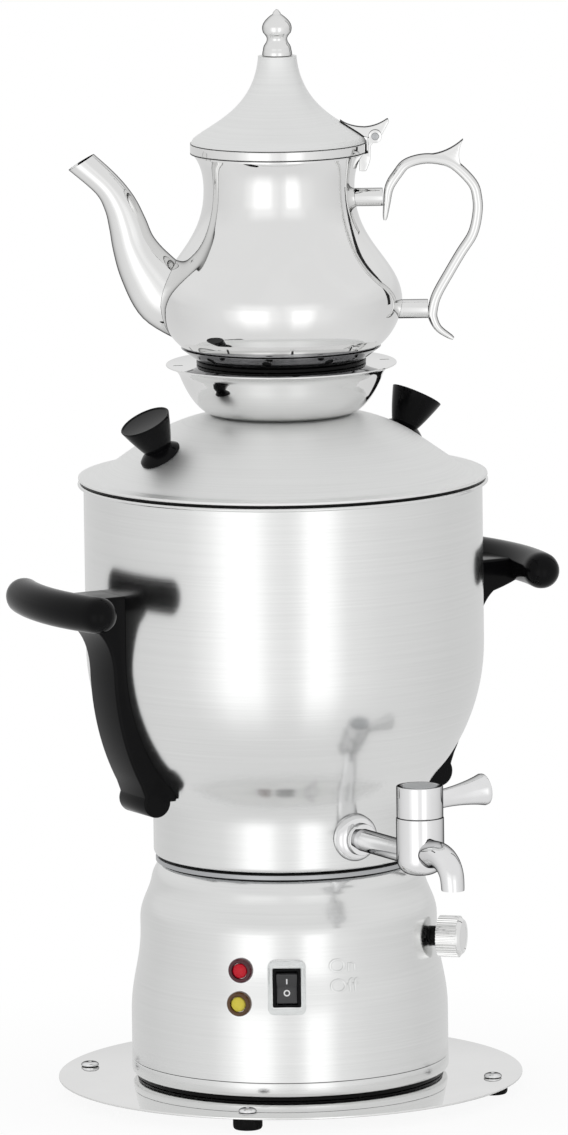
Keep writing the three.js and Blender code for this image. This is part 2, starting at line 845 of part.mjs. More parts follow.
function makeHeater() {
  const gasketBore = gasketRadius - gasketWidth;
  const heaterRadius = Math.min(heaterPlateRadius, gasketBore - fit);
  const heaterBottom = vesselBottom - fit - heaterPlateThickness;
  const plate = disc(heaterRadius, heaterBottom, heaterPlateThickness, potSides);
  const rodSocket = disc(
    tieRodRadius + fit,
    heaterBottom - overrun,
    heaterPlateThickness / 2 + overrun,
    smallSides,
  );
  const tubeHeight = heaterBottom - fit - heaterTubeRadius;
  const sweep = 360 - heaterOpeningAngle;
  const loopSections = Array.from({ length: heaterSteps + 1 }, (_, i) => {
    const heading = heaterOpeningAngle / 2 + (sweep * i) / heaterSteps;
    const angle = radians(heading);
    return {
      x: heaterRingRadius * Math.sin(angle),
      z: -heaterRingRadius * Math.cos(angle),
      heading,
      tall: heaterTubeRadius,
      wide: heaterTubeRadius,
    };
  });
  const loop = tubeInPlane(loopSections, smallSides).rotateX(-Math.PI / 2).translate(0, 0, tubeHeight);
  const tails = [-1, 1].map((side) => {
    const angle = radians((side * heaterOpeningAngle) / 2);
    const tail = disc(heaterTubeRadius * 1.1, tubeHeight - heaterTailLength, heaterTailLength, smallSides);
    return tail.translate(heaterRingRadius * Math.sin(angle), -heaterRingRadius * Math.cos(angle), 0);
  });
  const cutout = disc(cutoutRadius, heaterBottom - fit - cutoutHeight, cutoutHeight, mediumSides);
  samovar.add(named("heater_plate", cut(plate, rodSocket), aluminium));
  samovar.add(named("heater_element", joined(loop, ...tails), dullSteel));
  samovar.add(named("thermal_cutout", cutout.translate(cutoutOffset, 0, 0), ceramic));
  const rodBottom = plateBottom - tieRodThreadBelow;
  const rodTop = heaterBottom + heaterPlateThickness / 2 - fit;
  const nutBottom = plateBottom - fit - tieNutHeight;
  const nutBore = disc(tieRodRadius + fit, nutBottom - overrun, tieNutHeight + 2 * overrun, smallSides);
  const nut = cut(disc(tieNutRadius, nutBottom, tieNutHeight, hexSides), nutBore);
  samovar.add(named("tie_rod", disc(tieRodRadius, rodBottom, rodTop - rodBottom, smallSides), dullSteel));
  samovar.add(named("tie_nut", nut, dullSteel));
}

// The shell's outer radius at a height above the plate
function shellRadiusAt(heightAbovePlate) {
  return radiusAt(shellOutside, plateTop + heightAbovePlate);
}

function makeThermostat() {
  const group = facing(thermostatAzimuth);
  const z = plateTop + thermostatHeight;
  const shellRadius = shellRadiusAt(thermostatHeight);
  const bodyFront = shellRadius - thermostatBodyInset;
  const body = new THREE.BoxGeometry(thermostatBodyWidth, thermostatBodyDepth, thermostatBodyHeight);
  const bodyMesh = named(
    "thermostat_body",
    cut(body, outwardCylinder(thermostatShaftRadius + fit, thermostatBodyDepth, smallSides)),
    ceramic,
  );
  bodyMesh.position.set(0, thermostatBodyDepth / 2 - bodyFront, z);
  const bushStart = bodyFront + fit;
  const bushEnd = shellRadius + thermostatBushReach;
  const flangeStart = shellRadius - overrun;
  const bushCylinder = outwardCylinder(
    thermostatBushRadius,
    bushEnd - bushStart,
    mediumSides,
  ).translate(0, -bushStart, z);
  const flangeLength = overrun + thermostatBushFlangeThickness;
  const flange = outwardCylinder(
    thermostatBushFlangeRadius,
    flangeLength,
    mediumSides,
  ).translate(0, -flangeStart, z);
  const seatedFlange = cut(flange, seenFrom(thermostatAzimuth, shellBody));
  const bore = outwardCylinder(
    thermostatShaftRadius + runningGap,
    vesselRadius,
    smallSides,
  ).translate(0, 0, z);
  const bush = cut(joined(bushCylinder, seatedFlange), bore);
  const knobStart = shellRadius + knobGapToShell;
  const shaftStart = bodyFront - thermostatBodyDepth / 3;
  const shaftEnd = knobStart + thermostatShaftReach - knobGapToShell;
  const shaft = outwardCylinder(
    thermostatShaftRadius,
    shaftEnd - shaftStart,
    smallSides,
  ).translate(0, -shaftStart, z);
  const ribs = Array.from({ length: 2 * knobRibCount }, (_, i) => {
    const angle = (Math.PI * i) / knobRibCount;
    const radius = i % 2 ? knobRadius : knobRadius - knobRibDepth;
    return point(radius * Math.cos(angle), radius * Math.sin(angle));
  });
  const grip = new THREE.ExtrudeGeometry(new THREE.Shape(ribs), {
    depth: knobLength - knobChamferLength,
    bevelEnabled: false,
  });
  const nose = revolve(
    [
      point(0, knobLength - 2 * knobChamferLength),
      point(knobFaceRadius, knobLength - 2 * knobChamferLength),
      point(knobRadius - knobRibDepth - fit, knobLength - knobChamferLength),
      point(knobFaceRadius, knobLength),
      point(0, knobLength),
    ],
    mediumSides,
  );
  const socket = disc(
    thermostatShaftRadius + fit,
    -overrun,
    shaftEnd - knobStart + fit + overrun,
    smallSides,
  );
  const knob = cut(joined(grip, nose), socket).rotateX(Math.PI / 2);
  const knobMesh = named("thermostat_knob", knob, chrome);
  knobMesh.position.set(0, -knobStart, z);
  group.add(
    bodyMesh,
    named("thermostat_bush", bush, blackPlastic),
    named("thermostat_shaft", shaft, dullSteel),
    knobMesh,
  );
  samovar.add(group);
}

function makeSwitch() {
  const group = facing(switchAzimuth);
  const z = plateTop + switchHeight;
  const shellRadius = shellRadiusAt(switchHeight);
  const shellHere = seenFrom(switchAzimuth, shellBody);
  const frontFace = shellRadius + switchBezelThickness;
  const bezelBack = shellRadius - overrun;
  const bezel = frontSlab(
    switchBezelWidth,
    switchBezelHeight,
    frontFace - bezelBack,
    3 * fit,
  ).translate(0, -bezelBack, z);
  const seatedBezel = cut(bezel, shellHere);
  const bodyStart = shellRadius - switchBodyDepth;
  const body = frontSlab(
    switchBodyWidth,
    switchBodyHeight,
    frontFace - bodyStart,
    fit,
  ).translate(0, -bodyStart, z);
  const cavityWidth = rockerWidth + 2 * runningGap;
  const cavityHeight = switchBezelHeight - 2 * switchLipWidth;
  const cavityBack = frontFace - switchCavityDepth;
  const cavity = frontSlab(
    cavityWidth,
    cavityHeight,
    switchCavityDepth + overrun,
    fit,
  ).translate(0, -cavityBack, z);
  const housing = cut(joined(seatedBezel, body), cavity);
  const half = rockerLength / 2;
  const rockerPath = new THREE.Path();
  rockerPath.moveTo(-half, rockerBulge);
  rockerPath.lineTo(0, rockerDip);
  rockerPath.lineTo(half, rockerBulge);
  rockerPath.lineTo(half, 0);
  rockerPath.lineTo(half / 3, -rockerDepth);
  rockerPath.lineTo(-half / 3, -rockerDepth);
  rockerPath.lineTo(-half, 0);
  const rocker = new THREE.ExtrudeGeometry(new THREE.Shape(pointsOf(rockerPath)), {
    depth: rockerWidth,
    bevelEnabled: false,
  });
  rocker.translate(0, 0, -rockerWidth / 2).rotateZ(Math.PI / 2).rotateY(Math.PI / 2);
  rocker.rotateX(Math.PI / 2).rotateX(radians(rockerTilt));
  const rockerMesh = named("switch_rocker", rocker, blackPlastic);
  rockerMesh.position.set(0, -(frontFace - rockerPivotDepth), z);
  const frameBack = shellRadius - overrun;
  const frameOuter = frontSlab(frameWidth, frameHeight, frameThickness + overrun, frameRound);
  const frameInner = frontSlab(
    switchBezelWidth + 2 * fit,
    switchBezelHeight + 2 * fit,
    frameThickness + 3 * overrun,
    3 * fit,
  ).translate(0, overrun, 0);
  const frame = cut(cut(frameOuter, frameInner).translate(0, -frameBack, z), shellHere);
  group.add(
    named("switch_housing", housing, blackPlastic),
    rockerMesh,
    named("switch_frame", frame, clearPlastic),
  );
  samovar.add(group);
}

function makeLamp(name, height, bezelFinish, lensFinish) {
  const group = facing(lampAzimuth);
  const z = plateTop + height;
  const shellRadius = shellRadiusAt(height);
  const shellHere = seenFrom(lampAzimuth, shellBody);
  const back = shellRadius - overrun;
  const flange = revolve(
    [
      point(0, 0),
      point(lampBezelRadius, 0),
      point(lampBezelRadius, overrun + lampBezelThickness / 2),
      point(lampBodyRadius, overrun + lampBezelThickness),
      point(0, overrun + lampBezelThickness),
    ],
    mediumSides,
  ).rotateX(Math.PI / 2);
  const seatedFlange = cut(flange.translate(0, -back, z), shellHere);
  const bodyStart = shellRadius - lampBodyDepth;
  const front = back + overrun + lampBezelThickness;
  const body = outwardCylinder(lampBodyRadius, front - bodyStart, mediumSides).translate(0, -bodyStart, z);
  const lensStart = front - lampLensDepth;
  const bore = outwardCylinder(lampLensRadius + fit, lampLensDepth + fit + overrun, mediumSides);
  const bezel = cut(joined(seatedFlange, body), bore.translate(0, fit - lensStart, z));
  const lens = revolve(
    [
      point(0, 0),
      point(lampLensRadius, 0),
      point(lampLensRadius, lampLensDepth - lampLensDome),
      point(lampLensRadius / 2, lampLensDepth - lampLensDome / 3),
      point(0, lampLensDepth),
    ],
    mediumSides,
  ).rotateX(Math.PI / 2);
  lens.translate(0, -lensStart, z);
  group.add(named(name + "_bezel", bezel, bezelFinish), named(name + "_lens", lens, lensFinish));
  samovar.add(group);
}

function makeGland() {
  const group = facing(backAzimuth);
  const z = plateTop + glandHeight;
  const shellRadius = shellRadiusAt(glandHeight);
  const back = shellRadius - overrun;
  const flange = outwardCylinder(
    glandFlangeRadius,
    overrun + glandFlangeThickness,
    mediumSides,
  ).translate(0, -back, z);
  const seatedFlange = cut(flange, seenFrom(backAzimuth, shellBody));
  const start = shellRadius - glandTailLength;
  const end = glandTailLength + glandNoseLength;
  const nose = revolve(
    [
      point(0, 0),
      point(glandNoseRadius, 0),
      point(glandNoseRadius, glandTailLength + glandFlangeThickness),
      point(between(glandNoseRadius, glandMouthRadius, 0.5), end),
      point(glandMouthRadius - fit, end),
      point(glandMouthRadius - fit, end - glandMouthDepth),
      point(0, end - glandMouthDepth),
    ],
    mediumSides,
  ).rotateX(Math.PI / 2);
  group.add(named("cable_gland", joined(seatedFlange, nose.translate(0, -start, z)), blackPlastic));
  samovar.add(group);
}

function makeTap() {
  const z = plateTop + tapHeight;
  const wallRadius = vesselNeckRadius;
  const rosetteBack = wallRadius - overrun;
  const rosetteEnd = overrun + rosetteLength;
  const rosetteShape = revolve(
    [
      point(0, 0),
      point(rosetteRadius, 0),
      point(rosetteRadius, between(overrun, rosetteEnd, 0.2)),
      point(between(rosetteRadius, rosetteNoseRadius, 0.3), between(overrun, rosetteEnd, 0.5)),
      point(rosetteNoseRadius, between(overrun, rosetteEnd, 0.7)),
      point(rosetteNoseRadius, rosetteEnd),
      point(0, rosetteEnd),
    ],
    mediumSides,
  ).rotateX(Math.PI / 2);
  const stemClear = outwardCylinder(tapStemRadius + fit, tapReach, mediumSides).translate(0, 0, z);
  const rosette = cut(rosetteShape.translate(0, -rosetteBack, z), vesselBody, stemClear);
  samovar.add(named("tap_rosette", rosette, chrome));

  const bodyBottom = z - tapStemAboveBottom;
  const bodyTop = bodyBottom + tapBodyHeight;
  const barrel = revolve(
    [
      point(0, bodyBottom),
      point(tapBodyBottomRadius, bodyBottom),
      point(between(tapBodyBottomRadius, tapBodyRadius, 0.7), bodyBottom + tapBodyRound / 4),
      point(tapBodyRadius, bodyBottom + tapBodyRound),
      point(tapBodyRadius, bodyTop),
      point(0, bodyTop),
    ],
    mediumSides,
  ).translate(0, -tapReach, 0);
  const stemStart = wallRadius - tapStemInside;
  const stem = outwardCylinder(
    tapStemRadius,
    tapReach - stemStart,
    mediumSides,
  ).translate(0, -stemStart, z);
  const spoutDirections = [0, -20, -48, -76, -90];
  const spoutOutShares = [0.12, 0.5, 0.82, 0.98, 1];
  const spoutDropShares = [0, 0.04, 0.25, 0.62, 1];
  const spoutSections = (startRadius, endRadius, stretch) =>
    spoutDirections.map((heading, i) => ({
      x: tapSpoutReach * spoutOutShares[i],
      z: -tapSpoutDrop * spoutDropShares[i] - (i === spoutDirections.length - 1 ? stretch : 0),
      heading,
      tall: between(startRadius, endRadius, spoutDropShares[i]),
      wide: between(startRadius, endRadius, spoutDropShares[i]),
    }));
  const place = (geometry) => geometry.rotateZ(-Math.PI / 2).translate(
    0,
    -tapReach,
    z + tapStemAboveBottom / 6,
  );
  const spout = place(tubeInPlane(spoutSections(tapSpoutRootRadius, tapSpoutEndRadius, 0), mediumSides));
  const channel = place(
    tubeInPlane(spoutSections(tapSpoutBoreRadius, tapSpoutBoreRadius, overrun), smallSides),
  );
  const stemBore = outwardCylinder(tapStemBoreRadius, tapReach - stemStart + overrun, smallSides);
  stemBore.translate(0, overrun - stemStart, z);
  const cavityBottom = bodyTop - tapCavityDepth;
  const cavity = disc(
    tapCavityRadius,
    cavityBottom,
    tapCavityDepth + overrun,
    mediumSides,
  ).translate(0, -tapReach, 0);
  const body = cut(joined(barrel, stem, spout), stemBore, channel, cavity);
  samovar.add(named("tap_body", body, chrome));

  const nutBack = wallRadius - vesselWall - fit - tapNutThickness;
  const nut = outwardCylinder(
    tapNutRadius,
    tapNutThickness - overrun / 2,
    hexSides,
  ).translate(0, -nutBack, z);
  const nutClear = outwardCylinder(tapStemRadius + fit, tapReach, mediumSides).translate(0, 0, z);
  samovar.add(named("tap_lock_nut", cut(nut, nutClear), brass));

  const headBottom = bodyTop + runningGap;
  const headTop = headBottom + tapHeadHeight;
  const plugRadius = tapCavityRadius - runningGap;
  const plugTop = headBottom - fit;
  const plug = disc(plugRadius, plugTop - tapPlugLength, tapPlugLength, mediumSides);
  const plugMesh = named("tap_plug", plug, brass);
  plugMesh.position.set(0, -tapReach, 0);
  const head = revolve(
    [
      point(0, headBottom),
      point(tapHeadRadius, headBottom),
      point(tapHeadRadius, headTop - tapHeadRound),
      point(tapHeadRadius - tapHeadRound, headTop),
      point(tapCapRadius + fit, headTop),
      point(tapCapRadius + fit, headTop - tapCapSeat),
      point(0, headTop - tapCapSeat),
    ],
    mediumSides,
  );
  const leverShape = revolve(
    [
      point(0, 0),
      point(leverRootRadius, 0),
      point(leverRootRadius, leverLength / 3),
      point(leverEndRadius, leverLength - leverEndRound),
      point(leverEndRadius - leverEndRound, leverLength),
      point(0, leverLength),
    ],
    mediumSides,
  );
  leverShape.rotateY(Math.PI / 2 - radians(leverTilt)).translate(0, 0, headTop - leverBelowTop);
  const leverMesh = named("tap_lever", joined(head, leverShape), chrome);
  leverMesh.position.set(0, -tapReach, 0);
  const cap = disc(tapCapRadius, headTop - tapCapSeat + fit, tapCapHeight, mediumSides);
  const capMesh = named("tap_cap", cap, dullSteel);
  capMesh.position.set(0, -tapReach, 0);
  samovar.add(plugMesh, leverMesh, capMesh);
}

function handleBoltHeight() {
  return plateTop + gripHeight + bracketTopAboveGrip - handleBoltBelowTop;
}

function makeHandle(side, azimuth) {
  const group = facing(azimuth);
  const gripZ = plateTop + gripHeight;
  const sections = [];
  const addSection = (angle, radius, outwards) =>
    sections.push({
      x: gripCircleRadius * Math.sin(angle) + outwards * Math.cos(angle),
      z: -gripCircleRadius * Math.cos(angle) + outwards * Math.sin(angle),
      heading: THREE.MathUtils.radToDeg(angle),
      tall: radius,
      wide: radius,
    });
  const half = radians(gripHalfAngle);
  for (let i = gripEndSteps; i > 0; i -= 1) {
    const lean = (Math.PI / 2) * (i / (gripEndSteps + 0.4));
    addSection(-half, gripRadius * Math.cos(lean), -gripRadius * Math.sin(lean));
  }
  for (let i = 0; i <= gripSteps; i += 1) addSection(between(-half, half, i / gripSteps), gripRadius, 0);
  for (let i = 1; i <= gripEndSteps; i += 1) {
    const lean = (Math.PI / 2) * (i / (gripEndSteps + 0.4));
    addSection(half, gripRadius * Math.cos(lean), gripRadius * Math.sin(lean));
  }
  const grip = tubeInPlane(sections, smallSides).rotateX(-Math.PI / 2).translate(0, 0, gripZ);

  const topZ = gripZ + bracketTopAboveGrip;
  const footZ = plateTop + bracketFootHeight;
  const footCentreRadius = radiusAt(vesselOutside, footZ) + bracketFootStandoff;
  const lowZ = footZ + bracketLowAboveFoot;
  const lowRadius = radiusAt(vesselOutside, lowZ) + bracketLowStandoff;
  const chinZ = gripZ - bracketChinBelowGrip;
  const thinZ = gripZ - bracketThinBelowGrip;
  const thinRadius = vesselRadius + bracketThinReach;
  const path = new THREE.Path();
  path.moveTo(vesselNeckRadius, topZ);
  path.lineTo(gripCircleRadius, topZ);
  path.lineTo(gripCircleRadius, gripZ - gripRadius / 2);
  path.quadraticCurveTo(
    vesselRadius + bracketSeatReach,
    gripZ - gripRadius,
    vesselRadius + bracketChinReach,
    chinZ,
  );
  path.quadraticCurveTo(thinRadius, between(chinZ, thinZ, 0.5), thinRadius, thinZ);
  path.quadraticCurveTo(thinRadius, between(footZ, thinZ, 0.6), lowRadius, lowZ);
  path.lineTo(footCentreRadius + bracketFootRadius, footZ);
  path.lineTo(footCentreRadius, footZ);
  path.lineTo(footCentreRadius - bracketFootRadius / 2, footZ);
  path.lineTo(vesselNeckRadius, footZ + 2 * bracketFootRadius);
  const slab = slabInPlane(pointsOf(path), bracketWidth).rotateZ(-Math.PI / 2);
  const foot = new THREE.CylinderGeometry(bracketFootRadius, bracketFootRadius, bracketWidth, mediumSides);
  foot.rotateZ(Math.PI / 2).translate(0, -footCentreRadius, footZ);
  const gripClearSections = sections.map((here) => ({
    ...here,
    tall: here.tall + fit,
    wide: here.wide + fit,
  }));
  const gripClear = tubeInPlane(gripClearSections, smallSides).rotateX(-Math.PI / 2).translate(0, 0, gripZ);
  const beyondGrip = new THREE.BoxGeometry(2 * bracketWidth, 2 * gripRadius, 4 * gripRadius);
  beyondGrip.translate(0, -gripCircleRadius - gripRadius, gripZ);
  const boltZ = handleBoltHeight();
  const boltStart = vesselRadius - vesselWall - fit - handleBoltHeadHeight;
  const boltEnd = vesselRadius + handleBoltReach;
  const boltClear = outwardCylinder(handleBoltRadius + fit, boltEnd + fit - boltStart, smallSides);
  boltClear.translate(0, -boltStart, boltZ);
  const bracket = cut(joined(slab, foot), seenFrom(azimuth, vesselBody), gripClear, beyondGrip, boltClear);

  const head = outwardCylinder(handleBoltHeadRadius, handleBoltHeadHeight - 2 * fit, hexSides);
  const shank = outwardCylinder(handleBoltRadius, boltEnd - boltStart, smallSides);
  const bolt = joined(head, shank).translate(0, -boltStart, boltZ);
  group.add(named("handle_grip_" + side, grip, blackPlastic));
  group.add(named("handle_bracket_" + side, bracket, blackPlastic));
  group.add(named("handle_bolt_" + side, bolt, dullSteel));
  samovar.add(group);
}

const lidPath = new THREE.Path();
lidPath.moveTo(lidDomeRadius, lidBottom);
lidPath.lineTo(lidDomeRadius, lidBottom + lidFlangeThickness);
lidPath.lineTo(lidConeRadius, lidBottom + lidConeHeight);
lidPath.quadraticCurveTo(
  between(lidConeRadius, lidCrownRadius, 0.42),
  lidBottom + between(lidConeHeight, lidCrownHeight, 0.8),
  lidCrownRadius,
  lidTop,
);
lidPath.lineTo(lidMouthRadius, lidTop);
const lidOutside = pointsOf(lidPath);

function makeLid() {
  const inside = offsetOutline(lidOutside, lidWall).reverse();
  const lipBottom = lidBottom - lidLipDepth;
  const outline = [
    point(lidFlangeRadius, lidBottom),
    point(lidFlangeRadius, lidBottom + lidFlangeThickness),
    ...lidOutside.slice(1),
    ...inside.slice(0, -2),
    point(lidDomeRadius - lidWall, lidBottom + lidWall),
    point(lidLipRadius - lidWall, lidBottom + lidWall / 2),
    point(lidLipRadius - lidWall, lipBottom),
    point(lidLipRadius, lipBottom),
    point(lidLipRadius, lidBottom),
    point(lidFlangeRadius, lidBottom),
  ];
  samovar.add(named("lid", revolve(outline, largeSides), satinSteel));
}

function makeLidKnob(side, azimuth) {
  const group = facing(azimuth);
  const share = (lidDomeRadius - lidKnobCircleRadius) / (lidDomeRadius - lidConeRadius);
  const surfaceZ = lidBottom + between(lidFlangeThickness, lidConeHeight, share);
  const waistZ = lidKnobLength * lidKnobWaistShare;
  const path = new THREE.Path();
  path.moveTo(0, -lidKnobBaseRadius / 4);
  path.lineTo(lidKnobBaseRadius, -lidKnobBaseRadius / 4);
  path.lineTo(lidKnobBaseRadius, 0);
  path.quadraticCurveTo(lidKnobBaseRadius - lidKnobFootRound, waistZ / 2, lidKnobWaistRadius, waistZ);
  path.quadraticCurveTo(
    between(lidKnobWaistRadius, lidKnobTopRadius, 0.5),
    between(waistZ, lidKnobLength, 0.4),
    lidKnobTopRadius,
    lidKnobLength,
  );
  path.lineTo(lidKnobTopRadius - lidKnobDish, lidKnobLength);
  path.lineTo(0, lidKnobLength - lidKnobDish);
  const upright = revolve(pointsOf(path), mediumSides);
  const knob = upright.rotateX(radians(lidKnobTilt)).translate(0, -lidKnobCircleRadius, surfaceZ);
  const lidFill = revolve(
    [
      point(0, lidBottom - lidLipDepth),
      point(lidFlangeRadius, lidBottom - lidLipDepth),
      ...offsetOutline(lidOutside, -fit),
      point(0, lidTop + fit),
    ],
    largeSides,
  );
  group.add(named("lid_knob_" + side, cut(knob, seenFrom(azimuth, lidFill)), blackPlastic));
  samovar.add(group);
}

function makeStand() {
  const lipBottom = standBottom - standLipDepth;
  const flangeBottom = standTop - standWall;
  const bowlTop = standBottom + standBowlHeight;
  const path = new THREE.Path();
  path.moveTo(standBaseRadius, standBottom);
  path.quadraticCurveTo(
    between(standBaseRadius, standBowlRadius, 0.59),
    between(standBottom, bowlTop, 0.14),
    standBowlRadius,
    bowlTop,
  );
  const bowl = pointsOf(path);
  const inside = offsetOutline(bowl, standWall).reverse();
  const outline = [
    point(standLipRadius - standWall, lipBottom),
    point(standLipRadius, lipBottom),
    point(standLipRadius, standBottom),
    ...bowl,
    point(standFlangeRadius, flangeBottom),
    point(standFlangeRadius, standTop),
    point(standFlangeInnerRadius, standTop),
    point(standFlangeInnerRadius, flangeBottom),
    point(standFlangeRadius - 3 * standWall, flangeBottom),
    ...inside.slice(0, -1),
    point(standBaseRadius - standWall / 2, standBottom + standWall),
    point(standLipRadius - standWall, standBottom + standWall),
    point(standLipRadius - standWall, lipBottom),
  ];
  const slots = Array.from({ length: standSlotCount }, (_, i) => {
    const slot = new THREE.BoxGeometry(standSlotWidth, standSlotLength, 2 * standWall);
    slot.translate(0, -standSlotCircleRadius, standTop - standWall / 2);
    return slot.rotateZ(((i + 0.5) * 2 * Math.PI) / standSlotCount);
  });
  samovar.add(named("steam_stand", cut(revolve(outline, potSides), ...slots), mirrorSteel));
  const seal = ring(
    standSealRadius,
    standSealRadius - standSealWidth,
    standSealBottom,
    standSealHeight,
    potSides,
  );
  samovar.add(named("stand_seal", seal, blackRubber));
}

function makeWarmingRing() {
  const outside = [
    point(ringLedgeInnerRadius, ringBottom),
    point(ringFootRadius, ringBottom),
    point(ringRimRadius, ringBottom + ringHeight),
  ];
  const inside = [
    point(ringRimRadius - ringWall, ringBottom + ringHeight),
    point(ringFootRadius - ringWall / 2, ringBottom + ringWall),
    point(ringLedgeInnerRadius, ringBottom + ringWall),
  ];
  const dish = revolve([...outside, ...inside, outside[0].clone()], potSides);
  const rise = Math.atan2(ringHeight, ringRimRadius - ringFootRadius);
  const holes = Array.from({ length: ringHoleCount }, (_, i) => {
    const hole = disc(ringHoleRadius, -ringHoleRadius, 2 * ringHoleRadius, smallSides);
    hole.rotateX(-rise).translate(0, -(ringFootRadius + ringRimRadius) / 2, ringBottom + ringHeight / 2);
    return hole.rotateZ(radians(ringHoleTurn) + (i * 2 * Math.PI) / ringHoleCount);
  });
  samovar.add(named("warming_ring", cut(dish, ...holes), mirrorSteel));
}

const potPath = new THREE.Path();
const hipZ = potBottom + potHipHeight;
const waistZ = potBottom + potWaistHeight;
potPath.moveTo(0, potBottom);
potPath.lineTo(potBaseRadius, potBottom);
potPath.bezierCurveTo(
  between(potBaseRadius, potHipRadius, potBottomShares[0]),
  between(potBottom, hipZ, potBottomShares[1]),
  between(potBaseRadius, potHipRadius, potBottomShares[2]),
  between(potBottom, hipZ, potBottomShares[3]),
  potHipRadius,
  hipZ,
);
potPath.bezierCurveTo(
  between(potHipRadius, potWaistRadius, potShoulderShares[0]),
  between(hipZ, waistZ, potShoulderShares[1]),
  between(potHipRadius, potWaistRadius, potShoulderShares[2]),
  between(hipZ, waistZ, potShoulderShares[3]),
  potWaistRadius,
  waistZ,
);
potPath.quadraticCurveTo(
  potWaistRadius,
  between(waistZ, potMouth, 0.6),
  potMouthRadius,
  potMouth - potLipHeight,
);
potPath.lineTo(potMouthRadius, potMouth);
const potOutside = pointsOf(potPath, curveSteps + 1);
const potBody = grownBody(potOutside.slice(1), fit, potMouth + overrun, potSides);

function makeTeapot() {
  const pot = facing(potAzimuth);
  const body = revolve(wallOutline(potOutside, potWall), potSides);
  const holeSpots = [
    [0, 0],
    [-1, 0],
    [1, 0],
    [-0.5, 0.9],
    [0.5, 0.9],
    [-0.5, -0.9],
    [0.5, -0.9],
  ];
  const holes = holeSpots.map(([across, up]) => {
    const hole = outwardCylinder(strainerHoleRadius, potHipRadius, smallSides);
    hole.translate(
      across * strainerHoleSpacing,
      -potWaistRadius,
      potBottom + strainerHeight + up * strainerHoleSpacing,
    );
    return hole.rotateZ(Math.PI);
  });
  pot.add(named("teapot_body", cut(body, ...holes), mirrorSteel));

  const spoutSections = (inset) =>
    spoutHeadings.map((heading, i) => ({
      x: potHipRadius + spoutReach * spoutOutShares[i],
      z: potBottom + spoutHeight * spoutUpShares[i],
      heading,
      tall: spoutRootTall * spoutTallShares[i] - inset,
      wide: spoutRootWide * spoutWideShares[i] - inset,
    }));
  const outer = tubeInPlane(spoutSections(0), spoutSides);
  const innerSections = spoutSections(spoutWall);
  const mouth = innerSections[innerSections.length - 1];
  const mouthAngle = radians(mouth.heading);
  innerSections.push(
    { ...mouth, x: mouth.x + overrun * Math.cos(mouthAngle), z: mouth.z + overrun * Math.sin(mouthAngle) },
  );
  const inner = tubeInPlane(innerSections, spoutSides);
  const toFront = (geometry) => geometry.rotateZ(Math.PI / 2);
  const spout = cut(toFront(outer), toFront(inner), potBody);
  pot.add(named("teapot_spout", spout, mirrorSteel));

  const post = (radius, height, end) => {
    const rod = outwardCylinder(radius, end, mediumSides).translate(0, 0, potBottom + height);
    return cut(rod, potBody);
  };
  const middle = strapLine();
  const reachOf = (height) => middle.filter(
    (here) => here.distanceTo(point(here.x, height)) < strapThickness,
  )[0].x;
  const upperEnd = reachOf(upperPostHeight) - strapThickness / 2 - fit;
  const lowerHalf = middle.slice(middle.length / 2).map((here) => here.x);
  const lowerEnd = Math.min(...lowerHalf) - strapThickness / 2 - fit;
  pot.add(named("teapot_handle_post_upper", post(upperPostRadius, upperPostHeight, upperEnd), mirrorSteel));
  pot.add(named("teapot_handle_post_lower", post(lowerPostRadius, lowerPostHeight, lowerEnd), mirrorSteel));
  pot.add(named("teapot_handle", makeStrap(middle), mirrorSteel));
  addPotLid(pot);
  samovar.add(pot);
}

// The middle line of the handle's strap, as points of (outward, above the pot's base)
function strapLine() {
  const spots = strapPointShares.map(([out, up]) => point(strapOut(out), strapHeight * up));
  return new THREE.SplineCurve(spots).getSpacedPoints(strapSteps);
}

// How far out a share of the strap's reach lies
function strapOut(share) {
  return potHipRadius + strapReach * share;
}

function makeStrap(middle) {
  const taper = (i) => {
    const fromEnd = Math.min(i, middle.length - 1 - i) / 4;
    return between(strapTipThickness, strapThickness, Math.min(fromEnd, 1));
  };
  const side = (sign) =>
    middle.map((here, i) => {
      const before = middle[Math.max(i - 1, 0)];
      const after = middle[Math.min(i + 1, middle.length - 1)];
      const along = after.clone().sub(before).normalize();
      const half = (sign * taper(i)) / 2;
      return point(here.x - along.y * half, potBottom + here.y + along.x * half);
    });
  const strap = slabInPlane([...side(1), ...side(-1).reverse()], strapWidth);
  const heightAt = (out) => potBottom + middle.filter((here) => here.x >= out)[0].y;
  const rootOut = strapOut(thumbRestRootShare);
  const rootZ = heightAt(rootOut);
  const endOut = strapOut(thumbRestEndShare);
  const endZ = heightAt(endOut);
  const tipOut = strapOut(thumbRestTipShare);
  const tipZ = potBottom + thumbRestTipUp;
  const rootTopZ = rootZ + strapThickness / 2;
  const thumbPath = new THREE.Path();
  thumbPath.moveTo(rootOut, rootZ);
  thumbPath.lineTo(rootOut, rootTopZ);
  thumbPath.quadraticCurveTo(between(rootOut, tipOut, 0.62), between(rootTopZ, tipZ, 0.15), tipOut, tipZ);
  thumbPath.quadraticCurveTo(between(rootOut, tipOut, 0.79), between(endZ, tipZ, 0.5), endOut, endZ);
  const thumbRest = slabInPlane(pointsOf(thumbPath), strapWidth);
  return joined(strap, thumbRest).rotateZ(-Math.PI / 2);
}

